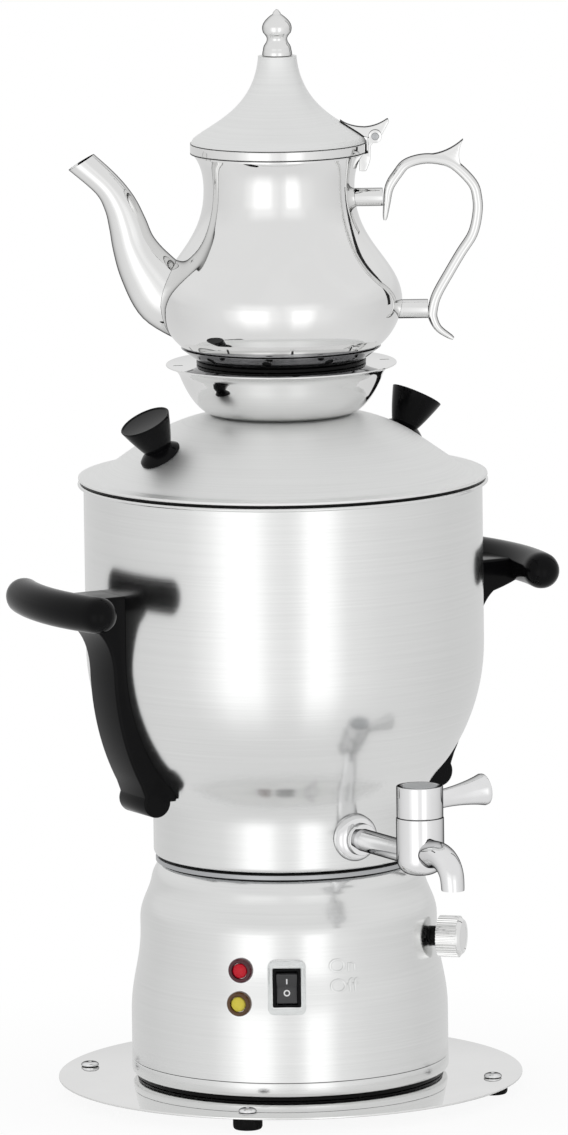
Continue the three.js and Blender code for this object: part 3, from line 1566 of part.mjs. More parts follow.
function addPotLid(pot) {
  const flangeTop = potLidBottom + potLidFlangeHeight;
  const path = new THREE.Path();
  path.moveTo(potLidFlangeRadius, potLidBottom);
  path.lineTo(potLidFlangeRadius, flangeTop);
  const shoulderZ = flangeTop + potLidShoulderRise;
  path.lineTo(potLidShoulderRadius, shoulderZ);
  path.bezierCurveTo(
    between(potLidShoulderRadius, potLidNeckRadius, potLidShares[0]),
    between(shoulderZ, potLidTop, potLidShares[1]),
    between(potLidShoulderRadius, potLidNeckRadius, potLidShares[2]),
    between(shoulderZ, potLidTop, potLidShares[3]),
    potLidNeckRadius,
    potLidTop,
  );
  path.lineTo(0, potLidTop);
  const outside = pointsOf(path, curveSteps + 2);
  const inside = offsetOutline(outside, potWall).reverse();
  const outline = [
    ...outside,
    ...inside.slice(0, -2),
    point(potLidLipRadius - potWall, flangeTop - 2 * potWall),
    point(potLidLipRadius - potWall, potLidBottom - potLidLipDepth),
    point(potLidLipRadius, potLidBottom - potLidLipDepth),
    point(potLidLipRadius, potLidBottom),
    point(potLidFlangeRadius, potLidBottom),
  ];
  const lidBody = revolve([point(0, potLidBottom), ...offsetOutline(outside, -fit)], potSides);
  const shoulderClear = hingeKnuckleWidth + 2 * hingeEarWidth + 4 * fit;
  const eyeClear = new THREE.CylinderGeometry(
    hingeEarRadius + fit,
    hingeEarRadius + fit,
    shoulderClear,
    mediumSides,
  );
  eyeClear.rotateZ(Math.PI / 2).translate(0, -hingeOut, hingeHeight);
  pot.add(named("teapot_lid", cut(revolve(outline, potSides), eyeClear), mirrorSteel));

  const shares = finialHeightShares;
  const at = (share) => finialBottom + finialHeight * share;
  const finialPath = new THREE.Path();
  finialPath.moveTo(0, finialBottom);
  finialPath.lineTo(finialFootRadius, finialBottom);
  finialPath.lineTo(finialFootEdgeRadius, at(shares[0]));
  finialPath.quadraticCurveTo(
    finialWaistRadius,
    between(at(shares[0]), at(shares[1]), 0.3),
    finialWaistRadius,
    at(shares[1]),
  );
  finialPath.quadraticCurveTo(
    finialBulbRadius,
    between(at(shares[1]), at(shares[2]), 0.3),
    finialBulbRadius,
    at(shares[2]),
  );
  finialPath.quadraticCurveTo(
    finialBulbRadius,
    between(at(shares[2]), at(shares[3]), 0.6),
    finialTipRadius,
    at(shares[3]),
  );
  finialPath.lineTo(0, at(1));
  pot.add(named("lid_finial", revolve(pointsOf(finialPath, 3), mediumSides), mirrorSteel));

  const earOffset = hingeKnuckleWidth / 2 + runningGap + hingeEarWidth / 2;
  const acrossX = (geometry) => geometry.rotateZ(Math.PI / 2);
  const eye = (radius, width, x) =>
    acrossX(new THREE.CylinderGeometry(
      radius,
      radius,
      width,
      mediumSides,
    )).translate(x, -hingeOut, hingeHeight);
  const legTop = hingeHeight;
  const legBottom = potMouth - hingeLegDrop;
  const legWidth = 2 * earOffset + hingeEarWidth;
  const leg = new THREE.BoxGeometry(legWidth, 2 * hingeLegThickness, legTop - legBottom);
  const legOut = potMouthRadius + fit;
  leg.translate(0, -(legOut + hingeLegThickness / 2), (legTop + legBottom) / 2);
  const arms = [-1, 1].map((sign) => {
    const arm = new THREE.BoxGeometry(hingeEarWidth, hingeOut - legOut, 2 * hingeEarRadius);
    return arm.translate(sign * earOffset, -(hingeOut + legOut) / 2, hingeHeight);
  });
  const ears = [-1, 1].map((sign) => eye(hingeEarRadius, hingeEarWidth, sign * earOffset));
  const knuckleClear = eye(hingeEarRadius + runningGap, hingeKnuckleWidth + 2 * runningGap, 0);
  const knuckleWay = new THREE.BoxGeometry(
    hingeKnuckleWidth + 2 * runningGap,
    4 * hingeEarRadius,
    2 * (hingeEarRadius + runningGap),
  ).translate(0, -hingeOut, hingeHeight);
  const pinBore = eye(hingePinRadius + fit, 2 * hingePinLength, 0);
  const lidSweep = disc(potLidFlangeRadius + runningGap, potLidBottom - fit, potLidHeight, potSides);
  const bracket = cut(
    joined(leg, ...arms, ...ears),
    knuckleClear,
    knuckleWay,
    pinBore,
    potBody,
    lidSweep,
  );
  pot.add(named("hinge_bracket", bracket, mirrorSteel));
  pot.add(named("hinge_pin", eye(hingePinRadius, hingePinLength, 0), dullSteel));

  const leverPath = new THREE.Path();
  leverPath.moveTo(thumbLeverRootOut, flangeTop);
  leverPath.lineTo(hingeOut, hingeHeight - hingeEarRadius / 2);
  leverPath.lineTo(hingeOut + hingeEarRadius, hingeHeight);
  leverPath.lineTo(thumbLeverTipOut, hingeHeight + thumbLeverTipRise - thumbLeverTipThickness);
  leverPath.lineTo(thumbLeverTipOut, hingeHeight + thumbLeverTipRise);
  const dipZ = hingeHeight + thumbLeverDipRise;
  leverPath.quadraticCurveTo(hingeOut, dipZ, potMouthRadius, dipZ);
  leverPath.lineTo(thumbLeverRootOut, hingeHeight + thumbLeverRootRise);
  const lever = slabInPlane(pointsOf(leverPath), hingeKnuckleWidth).rotateZ(-Math.PI / 2);
  const knuckle = eye(hingeEarRadius, hingeKnuckleWidth, 0);
  const thumbLever = cut(joined(lever, knuckle), lidBody, pinBore);
  pot.add(named("thumb_lever", thumbLever, mirrorSteel));
}

makeFeet();
makePlate();
makeBaseRings();
makeShell();
makeJoint();
makeVessel();
makeHeater();
makeThermostat();
makeSwitch();
makeLamp("heating_lamp", heatingLampHeight, darkRedPlastic, redPlastic);
makeLamp("keep_warm_lamp", keepWarmLampHeight, brownPlastic, yellowPlastic);
makeGland();
makeTap();
makeHandle("left", leftAzimuth);
makeHandle("right", rightAzimuth);
makeLid();
makeLidKnob("left", leftAzimuth + lidTurn);
makeLidKnob("right", rightAzimuth + lidTurn);
makeStand();
makeWarmingRing();
makeTeapot();

export default samovar;
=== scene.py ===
import math

import bmesh
import bpy
from mathutils import Matrix, Vector
from mathutils.geometry import interpolate_bezier


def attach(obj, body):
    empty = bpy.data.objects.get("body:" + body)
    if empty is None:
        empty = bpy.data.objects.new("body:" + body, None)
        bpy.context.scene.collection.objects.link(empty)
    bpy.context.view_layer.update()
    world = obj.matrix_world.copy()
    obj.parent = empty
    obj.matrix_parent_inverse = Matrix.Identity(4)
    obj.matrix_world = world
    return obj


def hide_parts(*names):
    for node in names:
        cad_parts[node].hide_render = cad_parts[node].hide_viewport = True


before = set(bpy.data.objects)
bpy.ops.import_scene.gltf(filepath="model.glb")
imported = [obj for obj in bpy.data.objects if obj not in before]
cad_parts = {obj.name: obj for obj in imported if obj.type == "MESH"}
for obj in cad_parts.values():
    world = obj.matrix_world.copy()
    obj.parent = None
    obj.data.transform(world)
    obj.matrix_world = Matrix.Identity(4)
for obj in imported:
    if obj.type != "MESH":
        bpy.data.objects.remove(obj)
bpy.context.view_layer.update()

scene = bpy.context.scene
scene.view_settings.view_transform = "Standard"
mm = 0.001
print("frame loaded with", len(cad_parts), "nodes")

# ways of shaping: sizes are in millimetres until a piece is finished, and an outline lists (radius, height)

finest, fine, usual = 192, 160, 144  # sides of what is turned
turnedWeld, cutWeld, textWeld = 0.0008, 0.002, 0.001


def between(a, b, share):
    return a + (b - a) * share


def bend(start, handleA, handleB, end, steps=12):
    knots = [Vector((*spot[:2], 0)) for spot in (start, handleA, handleB, end)]
    return [(p.x, p.y) for p in interpolate_bezier(*knots, steps + 1)]


def arc(start, handle, end, steps=10):
    towards = [tuple(a + (b - a) * 2 / 3 for a, b in zip(side, handle)) for side in (start, end)]
    return bend(start, towards[0], towards[1], end, steps)


def softened(points):
    # a third number on a point is how far its corner is rounded
    smooth = []
    for i, spot in enumerate(points):
        here = Vector((*spot[:2], 0))
        reach = spot[2] if len(spot) > 2 else 0
        if not reach:
            smooth.append(here)
            continue
        before = Vector((*points[i - 1][:2], 0)) - here
        after = Vector((*points[(i + 1) % len(points)][:2], 0)) - here
        before, after = before.normalized() * reach, after.normalized() * reach
        smooth += interpolate_bezier(here + before, here + before * 0.45, here + after * 0.45, here + after, 5)
    return [(p.x, p.y) for p in smooth]


def walled(outside, wall):
    # the outline of a sheet: up the outside and down the inside
    inside = []
    for i, (r, z) in enumerate(outside):
        a, b = outside[max(i - 1, 0)], outside[min(i + 1, len(outside) - 1)]
        length = math.hypot(b[0] - a[0], b[1] - a[1])
        inside.append((max(r - (b[1] - a[1]) / length * wall, 0), z + (b[0] - a[0]) / length * wall))
    return list(outside), inside[::-1]


def alongSpline(stations, steps):
    # stations as tuples of numbers, joined by a smooth curve through them
    path = []
    for i in range(len(stations) - 1):
        before, here = stations[max(i - 1, 0)], stations[i]
        after, beyond = stations[i + 1], stations[min(i + 2, len(stations) - 1)]
        for k in range(steps):
            t = k / steps
            path.append(tuple(
                0.5 * (2 * b + (c - a) * t + (2 * a - 5 * b + 4 * c - d) * t * t + (3 * b - a - 3 * c + d) * t ** 3)
                for a, b, c, d in zip(before, here, after, beyond)))
    return path + [tuple(stations[-1])]


def headingOf(path, i):
    a, b = path[max(i - 1, 0)], path[min(i + 1, len(path) - 1)]
    return math.degrees(math.atan2(b[1] - a[1], b[0] - a[0]))


def turned(points, sides=usual):
    bm = bmesh.new()
    outline = softened(points)
    corners = [bm.verts.new((r, 0, z)) for r, z in outline]
    onAxis = outline[0][0] < 1e-6 and outline[-1][0] < 1e-6
    edges = [bm.edges.new(pair) for pair in zip(corners, corners[1:] if onAxis else corners[1:] + corners[:1])]
    bmesh.ops.spin(bm, geom=corners + edges, cent=(0, 0, 0), axis=(0, 0, 1), dvec=(0, 0, 0),
                   angle=math.tau, steps=sides, use_merge=True, use_duplicate=False)
    bmesh.ops.remove_doubles(bm, verts=bm.verts, dist=turnedWeld)
    bmesh.ops.recalc_face_normals(bm, faces=bm.faces)
    return bm


def ring(inner, outer, low, high, lowRound=0, highRound=0, sides=usual):
    return turned([(inner, low), (outer, low, lowRound), (outer, high, highRound), (inner, high)], sides)


def bevelled(bm, edges, offset, segments, clamp=False):
    bmesh.ops.bevel(bm, geom=edges, offset=offset, segments=segments, profile=0.5, affect="EDGES", material=-1,
                    clamp_overlap=clamp)
    return bm


def lofted(rings, sides=32, squareness=2.0):
    # rings: (x, z, heading in degrees, half height, half width), square to the XZ plane
    bm = bmesh.new()
    loops = []
    for x, z, heading, tall, wide in rings:
        made = bmesh.ops.create_circle(bm, segments=sides, radius=1, cap_ends=False)["verts"]
        for corner in made:
            u, v = corner.co.x, corner.co.y
            size = (abs(u) ** squareness + abs(v) ** squareness) ** (1 / squareness)
            corner.co = Vector((0, v / size * wide, u / size * tall))
        turn = Matrix.Rotation(-math.radians(heading), 4, "Y")
        bmesh.ops.transform(bm, matrix=Matrix.Translation((x, 0, z)) @ turn, verts=made)
        loops.append(list({edge for corner in made for edge in corner.link_edges}))
    for first, second in zip(loops, loops[1:]):
        bmesh.ops.bridge_loops(bm, edges=first + second)
    for loop in (loops[0], loops[-1]):
        bmesh.ops.contextual_create(bm, geom=loop)
    bmesh.ops.recalc_face_normals(bm, faces=bm.faces)
    return bm


def extruded(bm, faces, way):
    grown = bmesh.ops.extrude_face_region(bm, geom=faces)["geom"]
    bmesh.ops.translate(bm, vec=way, verts=[v for v in grown if isinstance(v, bmesh.types.BMVert)])
    bmesh.ops.recalc_face_normals(bm, faces=bm.faces)
    return bm


def slab(points, width, rounding=0.0, segments=3):
    # a flat outline in the XZ plane, as thick as width across that plane
    bm = bmesh.new()
    face = bm.faces.new([bm.verts.new((x, -width / 2, z)) for x, z in softened(points)])
    extruded(bm, [face], (0, width, 0))
    if rounding:
        rims = [e for e in bm.edges if len({f.normal.to_tuple(1) for f in e.link_faces}) == 2
                and e.calc_face_angle(0) > math.radians(60) and abs(e.verts[0].co.y - e.verts[1].co.y) < 1e-4]
        bevelled(bm, rims, rounding, segments, True)
    return bm


def rotated(bm, degrees, axis="Y"):
    bmesh.ops.rotate(bm, cent=(0, 0, 0), matrix=Matrix.Rotation(math.radians(degrees), 3, axis), verts=bm.verts)
    return bm


def outward(bm):
    # what stood along +Z now points along +X
    return rotated(bm, 90)


def moved(bm, x=0, y=0, z=0):
    bmesh.ops.translate(bm, vec=(x, y, z), verts=bm.verts)
    return bm


def facing(bm, azimuth):
    # what points along +X is turned to the azimuth, where 0 is the tap's
    return rotated(bm, azimuth - 90, "Z")


def stud(outline, up, azimuth, sides=48):
    # turned about a level axis, which points outward at the azimuth
    return facing(moved(outward(turned(outline, sides)), z=up), azimuth)


def box(*size):
    bm = bmesh.new()
    bmesh.ops.create_cube(bm, size=1)
    bmesh.ops.scale(bm, vec=size, verts=bm.verts)
    return bm


def rod(radius, length, sides, edge=0, segments=2):
    bm = bmesh.new()
    bmesh.ops.create_cone(bm, cap_ends=True, segments=sides, radius1=radius, radius2=radius, depth=length)
    if edge:
        bevelled(bm, [e for e in bm.edges if e.calc_face_angle(0) > 1], edge, segments)
    return bm


def roundedBlock(width, height, depth, rounding, edge=0.0):
    # a block whose face looks along +X, standing on x = 0
    bm = moved(box(depth, width, height), depth / 2)
    bevelled(bm, [e for e in bm.edges if abs(e.verts[0].co.x - e.verts[1].co.x) > depth * 0.9], rounding, 6)
    if edge:
        bevelled(bm, [e for e in bm.edges if all(v.co.x > depth * 0.9 for v in e.verts)], edge, 3)
    return bm


def merged(parts):
    whole, *others = parts
    for part in others:
        spare = bpy.data.meshes.new("spare")
        part.to_mesh(spare)
        part.free()
        whole.from_mesh(spare)
        bpy.data.meshes.remove(spare)
    return whole


def combined(bm, other, operation):
    # one solid cut by or joined to another
    holders = []
    for part in (bm, other):
        bmesh.ops.triangulate(part, faces=[f for f in part.faces if len(f.verts) > 4])
        mesh = bpy.data.meshes.new("spare")
        part.to_mesh(mesh)
        part.free()
        holder = bpy.data.objects.new("spare", mesh)
        scene.collection.objects.link(holder)
        holders.append(holder)
    tool = holders[0].modifiers.new("joint", "BOOLEAN")
    tool.operation, tool.solver, tool.object = operation, "EXACT", holders[1]
    graph = bpy.context.evaluated_depsgraph_get()
    made = bmesh.new()
    made.from_mesh(holders[0].evaluated_get(graph).to_mesh())
    for holder in holders:
        mesh = holder.data
        bpy.data.objects.remove(holder)
        bpy.data.meshes.remove(mesh)
    bmesh.ops.remove_doubles(made, verts=made.verts, dist=cutWeld)
    return made


def cutBy(bm, *others):
    for other in others:
        bm = combined(bm, other, "DIFFERENCE")
    return bm


def joinedTo(bm, *others):
    for other in others:
        bm = combined(bm, other, "UNION")
    return bm


def finishPiece(name, bm, finish, body, *nodes, slot=None, sharpFrom=34):
    slot = slot or finishTable[finish][0]
    bmesh.ops.scale(bm, vec=(mm, mm, mm), verts=bm.verts)
    for face in bm.faces:
        face.smooth = True
    for edge in bm.edges:
        edge.smooth = len(edge.link_faces) != 2 or edge.calc_face_angle(0) < math.radians(sharpFrom)
    mesh = bpy.data.meshes.new(name)
    bm.to_mesh(mesh)
    bm.free()
    mesh.materials.append(finishes[finish])
    piece = bpy.data.objects.new(name, mesh)
    scene.collection.objects.link(piece)
    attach(piece, body)
    if nodes:
        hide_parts(*nodes)


def fill(node, sockets):
    # a value or a link for the node's first sockets, or for those that are named; a node stands for its first output
    for label, value in sockets.items() if isinstance(sockets, dict) else enumerate(sockets):
        if isinstance(value, bpy.types.Node):
            value = value.outputs[0]
        if isinstance(value, bpy.types.NodeSocket):
            node.id_data.links.new(value, node.inputs[label])
        else:
            node.inputs[label].default_value = value
    return node


def adder(tree):
    def add(kind, sockets=(), **settings):
        node = tree.nodes.new("ShaderNode" + kind)
        for label, value in settings.items():
            setattr(node, label, value)
        return fill(node, sockets)
    return add


# camera, light, floor and card; the studio's sizes are in metres, the camera's in millimetres

shot = {"azimuth": -30, "distance": 5758, "height": 1161.7, "pitch": 8.67, "roll": -0.76, "focalPixels": 10875,
        "imageHeight": 1135, "sensor": 36, "near": 0.5, "far": 40}


def makeCamera():
    lens = bpy.data.cameras.new("photoCamera")
    lens.sensor_width = shot["sensor"]
    lens.lens = lens.sensor_width * shot["focalPixels"] / shot["imageHeight"]
    lens.clip_start, lens.clip_end = shot["near"], shot["far"]
    camera = bpy.data.objects.new("photoCamera", lens)
    turn, reach = math.radians(shot["azimuth"]), shot["distance"]
    camera.location = Vector((math.sin(turn) * reach, -math.cos(turn) * reach, shot["height"])) * mm
    drop = math.radians(shot["pitch"])
    ahead = Vector((-math.sin(turn) * math.cos(drop), math.cos(turn) * math.cos(drop), -math.sin(drop)))
    camera.rotation_mode = "QUATERNION"
    roll = Matrix.Rotation(math.radians(shot["roll"]), 4, "Z").to_quaternion()
    camera.rotation_quaternion = ahead.to_track_quat("-Z", "Y") @ roll
    scene.collection.objects.link(camera)
    scene.camera = camera


# brightness round the object by degrees from the camera's side: two tall soft boxes in front, pale walls behind
light = {
    "low": [(-180, 0.72), (-120, 0.72), (-80, 0.8), (-58, 0.85), (-44, 1.03), (-34, 1.29), (-16, 1.29), (-8, 1.0),
            (2, 0.92), (9, 1.02), (14, 1.32), (26, 1.28), (36, 0.93), (60, 0.82), (110, 0.72), (180, 0.72)],
    "high": [(-180, 0.8), (-90, 0.8), (-50, 0.86), (-36, 1.04), (-14, 1.04), (0, 0.9), (12, 1.02), (28, 1.02),
             (44, 0.86), (100, 0.78), (180, 0.8)],
    "ceiling": 0.84, "ground": 0.8,
    "lowToHigh": (0.02, 0.17), "highToCeiling": (0.17, 0.42), "groundToLow": (-0.8, -0.3),
}


def makeLight():
    world = bpy.data.worlds.new("studio")
    scene.world = world
    world.use_nodes = True
    world.node_tree.nodes.clear()
    add = adder(world.node_tree)
    where = add("TexCoord")
    turn = add("VectorRotate", {"Vector": where.outputs["Generated"], "Angle": -math.radians(shot["azimuth"])},
               rotation_type="Z_AXIS")
    split = add("SeparateXYZ", (turn,))
    flip = add("Math", (split.outputs["Y"], -1), operation="MULTIPLY")
    angle = add("Math", (split.outputs["X"], flip), operation="ARCTAN2")
    share = add("Math", (angle, 1 / math.tau, 0.5), operation="MULTIPLY_ADD")

    def ramp(stops):
        node = add("ValToRGB", (share,))
        elements = node.color_ramp.elements
        while len(elements) < len(stops):
            elements.new(0.5)
        for element, (degrees, value) in zip(elements, stops):
            element.position = degrees / 360 + 0.5
            element.color = (value, value, value, 1)
        return node.outputs[0]

    def blend(span, below, above):
        # one level below a height in the sky, another above it
        step = add("MapRange", {"From Min": span[0], "From Max": span[1], "Value": split.outputs["Z"]},
                   interpolation_type="SMOOTHSTEP")
        below, above = [(level, level, level, 1) if isinstance(level, float) else level for level in (below, above)]
        return add("Mix", {"Factor": step, "A": below, "B": above}, data_type="RGBA").outputs["Result"]

    level = blend(light["lowToHigh"], ramp(light["low"]), ramp(light["high"]))
    level = blend(light["highToCeiling"], level, light["ceiling"])
    level = blend(light["groundToLow"], light["ground"], level)
    ray = add("LightPath")
    seen = add("Math", (ray.outputs["Is Camera Ray"], ray.outputs["Is Transmission Ray"]), operation="MAXIMUM")
    soft = add("Background", {"Color": level})
    white = add("Background", {"Color": (1, 1, 1, 1)})
    mix = add("MixShader", (seen, soft, white))
    add("OutputWorld", {"Surface": mix})


def newSheet(name, bm, paperName, grey):
    mesh = bpy.data.meshes.new(name)
    bm.to_mesh(mesh)
    bm.free()
    paper = bpy.data.materials.new(paperName)
    paper.use_nodes = True
    fill(paper.node_tree.nodes["Principled BSDF"], {"Base Color": (grey, grey, grey, 1), "Roughness": 0.9})
    mesh.materials.append(paper)
    sheet = bpy.data.objects.new(name, mesh)
    scene.collection.objects.link(sheet)
    return sheet, paper.node_tree


# shade is how bright the camera sees the middle of the floor; a mirror sees the floor up to mirrored
floorPaper = {"radius": 0.34, "grey": 0.86, "shade": 0.92, "fade": (0.14, 0.306), "mirrored": (0.1, 0.16)}


def makeFloor():
    bm = bmesh.new()
    bmesh.ops.create_circle(bm, segments=96, radius=floorPaper["radius"], cap_ends=True)
    floor, tree = newSheet("studioFloor", bm, "whitePaper", floorPaper["grey"])
    add = adder(tree)
    ray = add("LightPath")
    where = add("TexCoord")
    reach = add("VectorMath", (where.outputs["Object"],), operation="LENGTH").outputs["Value"]
    near, far = floorPaper["fade"]
    fade = add("MapRange", {"Value": reach, "From Min": near, "From Max": far, "To Min": floorPaper["shade"]})
    seen = add("Math", (ray.outputs["Is Camera Ray"], fade), operation="MULTIPLY")
    plain, glow = tree.nodes["Principled BSDF"], add("Emission")
    mix = add("MixShader", (seen, plain, glow))
    near, far = floorPaper["mirrored"]
    edge = add("MapRange", {"Value": reach, "From Min": near, "From Max": far})
    mirrored = add("Math", (ray.outputs["Is Glossy Ray"], edge), operation="MULTIPLY")
    clear = add("BsdfTransparent")
    fill(tree.nodes["Material Output"], {"Surface": add("MixShader", (mirrored, mix, clear))})


# a narrow black card beside the object, which the mirror of the teapot shows as a thin dark line
card = {"azimuth": 91, "distance": 0.8, "width": 0.077, "low": 0.36, "high": 1.3, "grey": 0.01}


def makeCard():
    bm = bmesh.new()
    bmesh.ops.create_grid(bm, size=0.5)
    bmesh.ops.scale(bm, vec=(card["high"] - card["low"], card["width"], 1), verts=bm.verts)
    moved(outward(bm), card["distance"], 0, (card["high"] + card["low"]) / 2)
    sheet, _ = newSheet("blackCard", facing(bm, card["azimuth"]), "blackCard", card["grey"])
    sheet.visible_camera = False


makeCamera()
makeLight()
makeFloor()
makeCard()
print("studio ready")

# finishes: every effect takes the same four numbers, and gives a roughness, a mask and a normal

effectNumbers = ("Scale", "Roughness", "Spread", "Depth")


def newEffect(name):
    group = bpy.data.node_groups.new(name, "ShaderNodeTree")
    for label in effectNumbers:
        group.interface.new_socket(name=label, in_out="INPUT", socket_type="NodeSocketFloat")
    for label, kind in (("Roughness", "Float"), ("Mask", "Float"), ("Normal", "Vector")):
        group.interface.new_socket(name=label, in_out="OUTPUT", socket_type="NodeSocket" + kind)
    return group, adder(group), group.nodes.new("NodeGroupInput").outputs


def closeEffect(group, given, uneven, mask, height, distance):
    # uneven is spread over the roughness, and height is what the bump is raised from
    add = adder(group)
    rough = add("Math", (uneven, given["Spread"], given["Roughness"]), operation="MULTIPLY_ADD")
    bump = add("Bump", {"Distance": distance, "Strength": given["Depth"], "Height": height})
    fill(group.nodes.new("NodeGroupOutput"), {"Roughness": rough, "Mask": mask, "Normal": bump})
    return group


def makeBrushLines():
    # fine lines that run round the axis, with a slow change in shine over the sheet
    group, add, given = newEffect("brushLines")
    where = add("TexCoord").outputs["Object"]
    split = add("SeparateXYZ", (where,))
    sideways = add("VectorMath", (where, (1, 1, 0)), operation="MULTIPLY")
    reach = add("VectorMath", (sideways,), operation="LENGTH")
    radial = add("Math", (reach.outputs["Value"], given["Scale"]), operation="MULTIPLY")
    slow = add("Math", (split.outputs["X"], 14), operation="MULTIPLY")
    along = add("Math", (split.outputs["Z"], given["Scale"]), operation="MULTIPLY")
    lines = add("CombineXYZ", {"X": radial, "Y": slow, "Z": along})
    grain = add("TexNoise", {"Vector": lines, "Scale": 1, "Detail": 3}).outputs["Fac"]
    cloud = add("TexNoise", {"Vector": where, "Scale": 16, "Detail": 2}).outputs["Fac"]
    both = add("Math", (grain, cloud), operation="ADD")
    centred = add("Math", (both, 1), operation="SUBTRACT")
    return closeEffect(group, given, centred.outputs[0], grain, grain, 0.0001)


def makeSmears():
    # faint wiping marks and dust in the polish
    group, add, given = newEffect("polishSmears")
    where = add("TexCoord").outputs["Object"]
    marks = add("TexNoise", {"Vector": where, "Scale": given["Scale"], "Detail": 5, "Distortion": 0.6}).outputs["Fac"]
    shape = add("MapRange", {"Value": marks, "From Min": 0.45, "From Max": 0.75}).outputs[0]
    return closeEffect(group, given, shape, shape, marks, 0.0004)


def makeMouldSkin():
    # the fine skin of moulded plastic or rubber
    group, add, given = newEffect("mouldSkin")
    where = add("TexCoord").outputs["Object"]
    skin = add("TexNoise", {"Vector": where, "Scale": given["Scale"], "Detail": 3}).outputs["Fac"]
    wear = add("TexNoise", {"Vector": where, "Scale": 60, "Detail": 4}).outputs["Fac"]
    return closeEffect(group, given, wear, wear, skin, 0.0001)


def newFinish(name, colour, metallic, effect, numbers, darker, sockets):
    material = bpy.data.materials.new(name)
    material.use_nodes = True
    tree = material.node_tree
    add = adder(tree)
    surface = add("Group", dict(zip(effectNumbers, numbers)), node_tree=effect)
    marked = (*[c * darker for c in colour], 1)
    tint = add("Mix", {"Factor": surface.outputs["Mask"], "A": marked, "B": (*colour, 1)}, data_type="RGBA")
    fill(tree.nodes["Principled BSDF"], {
        "Metallic": metallic, **sockets, "Base Color": tint.outputs["Result"],
        "Roughness": surface.outputs["Roughness"], "Normal": surface.outputs["Normal"]})
    return material


lines, smears, skin = makeBrushLines(), makeSmears(), makeMouldSkin()
darkRim = {"Specular Tint": (0, 0, 0, 1)}
lowGloss, lowestGloss = {"Specular IOR Level": 0.1}, {"Specular IOR Level": 0.09}
glassy = {"Transmission Weight": 0.2, "Specular IOR Level": 0.2}
cover = {"Transmission Weight": 0.95, "IOR": 1.3}
# slot, colour, metallic, effect, its scale, roughness, spread and depth, how dark its marks are, the shader's sockets
finishTable = {
    "satinSteel": ("satin_steel", (0.85, 0.855, 0.85), 1, lines, (1400, 0.17, 0.06, 0.06), 0.9, {}),
    "lidSteel": ("satin_steel", (0.9, 0.905, 0.9), 1, lines, (1200, 0.5, 0.06, 0.05), 0.9, {}),
    "mirrorSteel": ("polished_steel", (0.87, 0.87, 0.865), 1, smears, (24, 0.035, 0.04, 0.02), 0.97, {}),
    "chromePlate": ("chrome", (0.9, 0.9, 0.905), 1, smears, (60, 0.03, 0.05, 0.01), 0.96, darkRim),
    "trimSteel": ("polished_steel", (0.87, 0.87, 0.865), 1, smears, (50, 0.035, 0.04, 0.02), 0.97, darkRim),
    "heatTintedSteel": ("polished_steel", (0.5, 0.5, 0.51), 1, smears, (40, 0.09, 0.08, 0.05), 0.7, {}),
    "dullSteel": ("dull_steel", (0.5, 0.51, 0.52), 1, lines, (2600, 0.34, 0.12, 0.25), 0.9, {}),
    "blackGloss": ("black_gloss", (0.004, 0.004, 0.0045), 0, skin, (700, 0.08, 0.14, 0.03), 0.6, lowestGloss),
    "blackRubber": ("black_rubber", (0.01, 0.01, 0.01), 0, skin, (1600, 0.5, 0.25, 0.3), 0.6, lowGloss),
    # used for the real rubber seals, and also for painted shade: the black rings and sheet that stand for shadow gaps
    # on the lids and under the thumb lever
    "blackSealAndShadow": ("black_rubber", (0.006, 0.006, 0.006), 0, skin, (1200, 0.16, 0.2, 0.06), 0.6, lowestGloss),
    "rockerBlack": ("black_gloss", (0.045, 0.045, 0.047), 0, skin, (1100, 0.3, 0.15, 0.05), 0.7, {}),
    "clearCover": ("clear_cover", (0.97, 0.98, 0.98), 0, skin, (500, 0.06, 0.1, 0.04), 0.97, cover),
    "redLens": ("red_lens", (0.78, 0.01, 0.03), 0, skin, (900, 0.08, 0.1, 0.1), 0.8, glassy),
    "darkRed": ("dark_red", (0.09, 0.012, 0.02), 0, skin, (900, 0.12, 0.1, 0.05), 0.6, {}),
    "yellowLens": ("yellow_lens", (0.92, 0.78, 0.09), 0, skin, (900, 0.08, 0.1, 0.1), 0.85, glassy),
    "amberBrown": ("brown", (0.11, 0.045, 0.008), 0, skin, (900, 0.12, 0.1, 0.05), 0.6, {}),
    "whitePrint": ("ceramic", (0.9, 0.9, 0.9), 0, skin, (900, 0.4, 0.1, 0.05), 0.93, {}),
    "castAluminium": (None, (0.6, 0.61, 0.62), 1, smears, (300, 0.35, 0.15, 0.4), 0.8, {}),
    "whiteCeramic": (None, (0.8, 0.77, 0.7), 0, skin, (800, 0.45, 0.2, 0.3), 0.85, {}),
    "turnedBrass": (None, (0.72, 0.5, 0.2), 1, lines, (3000, 0.25, 0.1, 0.2), 0.9, {}),
}
finishes = {name: newFinish(name, *row[1:]) for name, row in finishTable.items()}
print("finishes made")

# base: plate, feet, rings and shell

plate = {"radius": 125, "bottom": 7.5, "top": 8.7, "edge": 0.35}
feet = {"count": 4, "circle": 111, "azimuth": 48, "radius": 7.85, "height": 7.2}
screw = {"radius": 4.75, "height": 2.2, "shank": 1.95, "length": 6.8, "lift": 0.3}
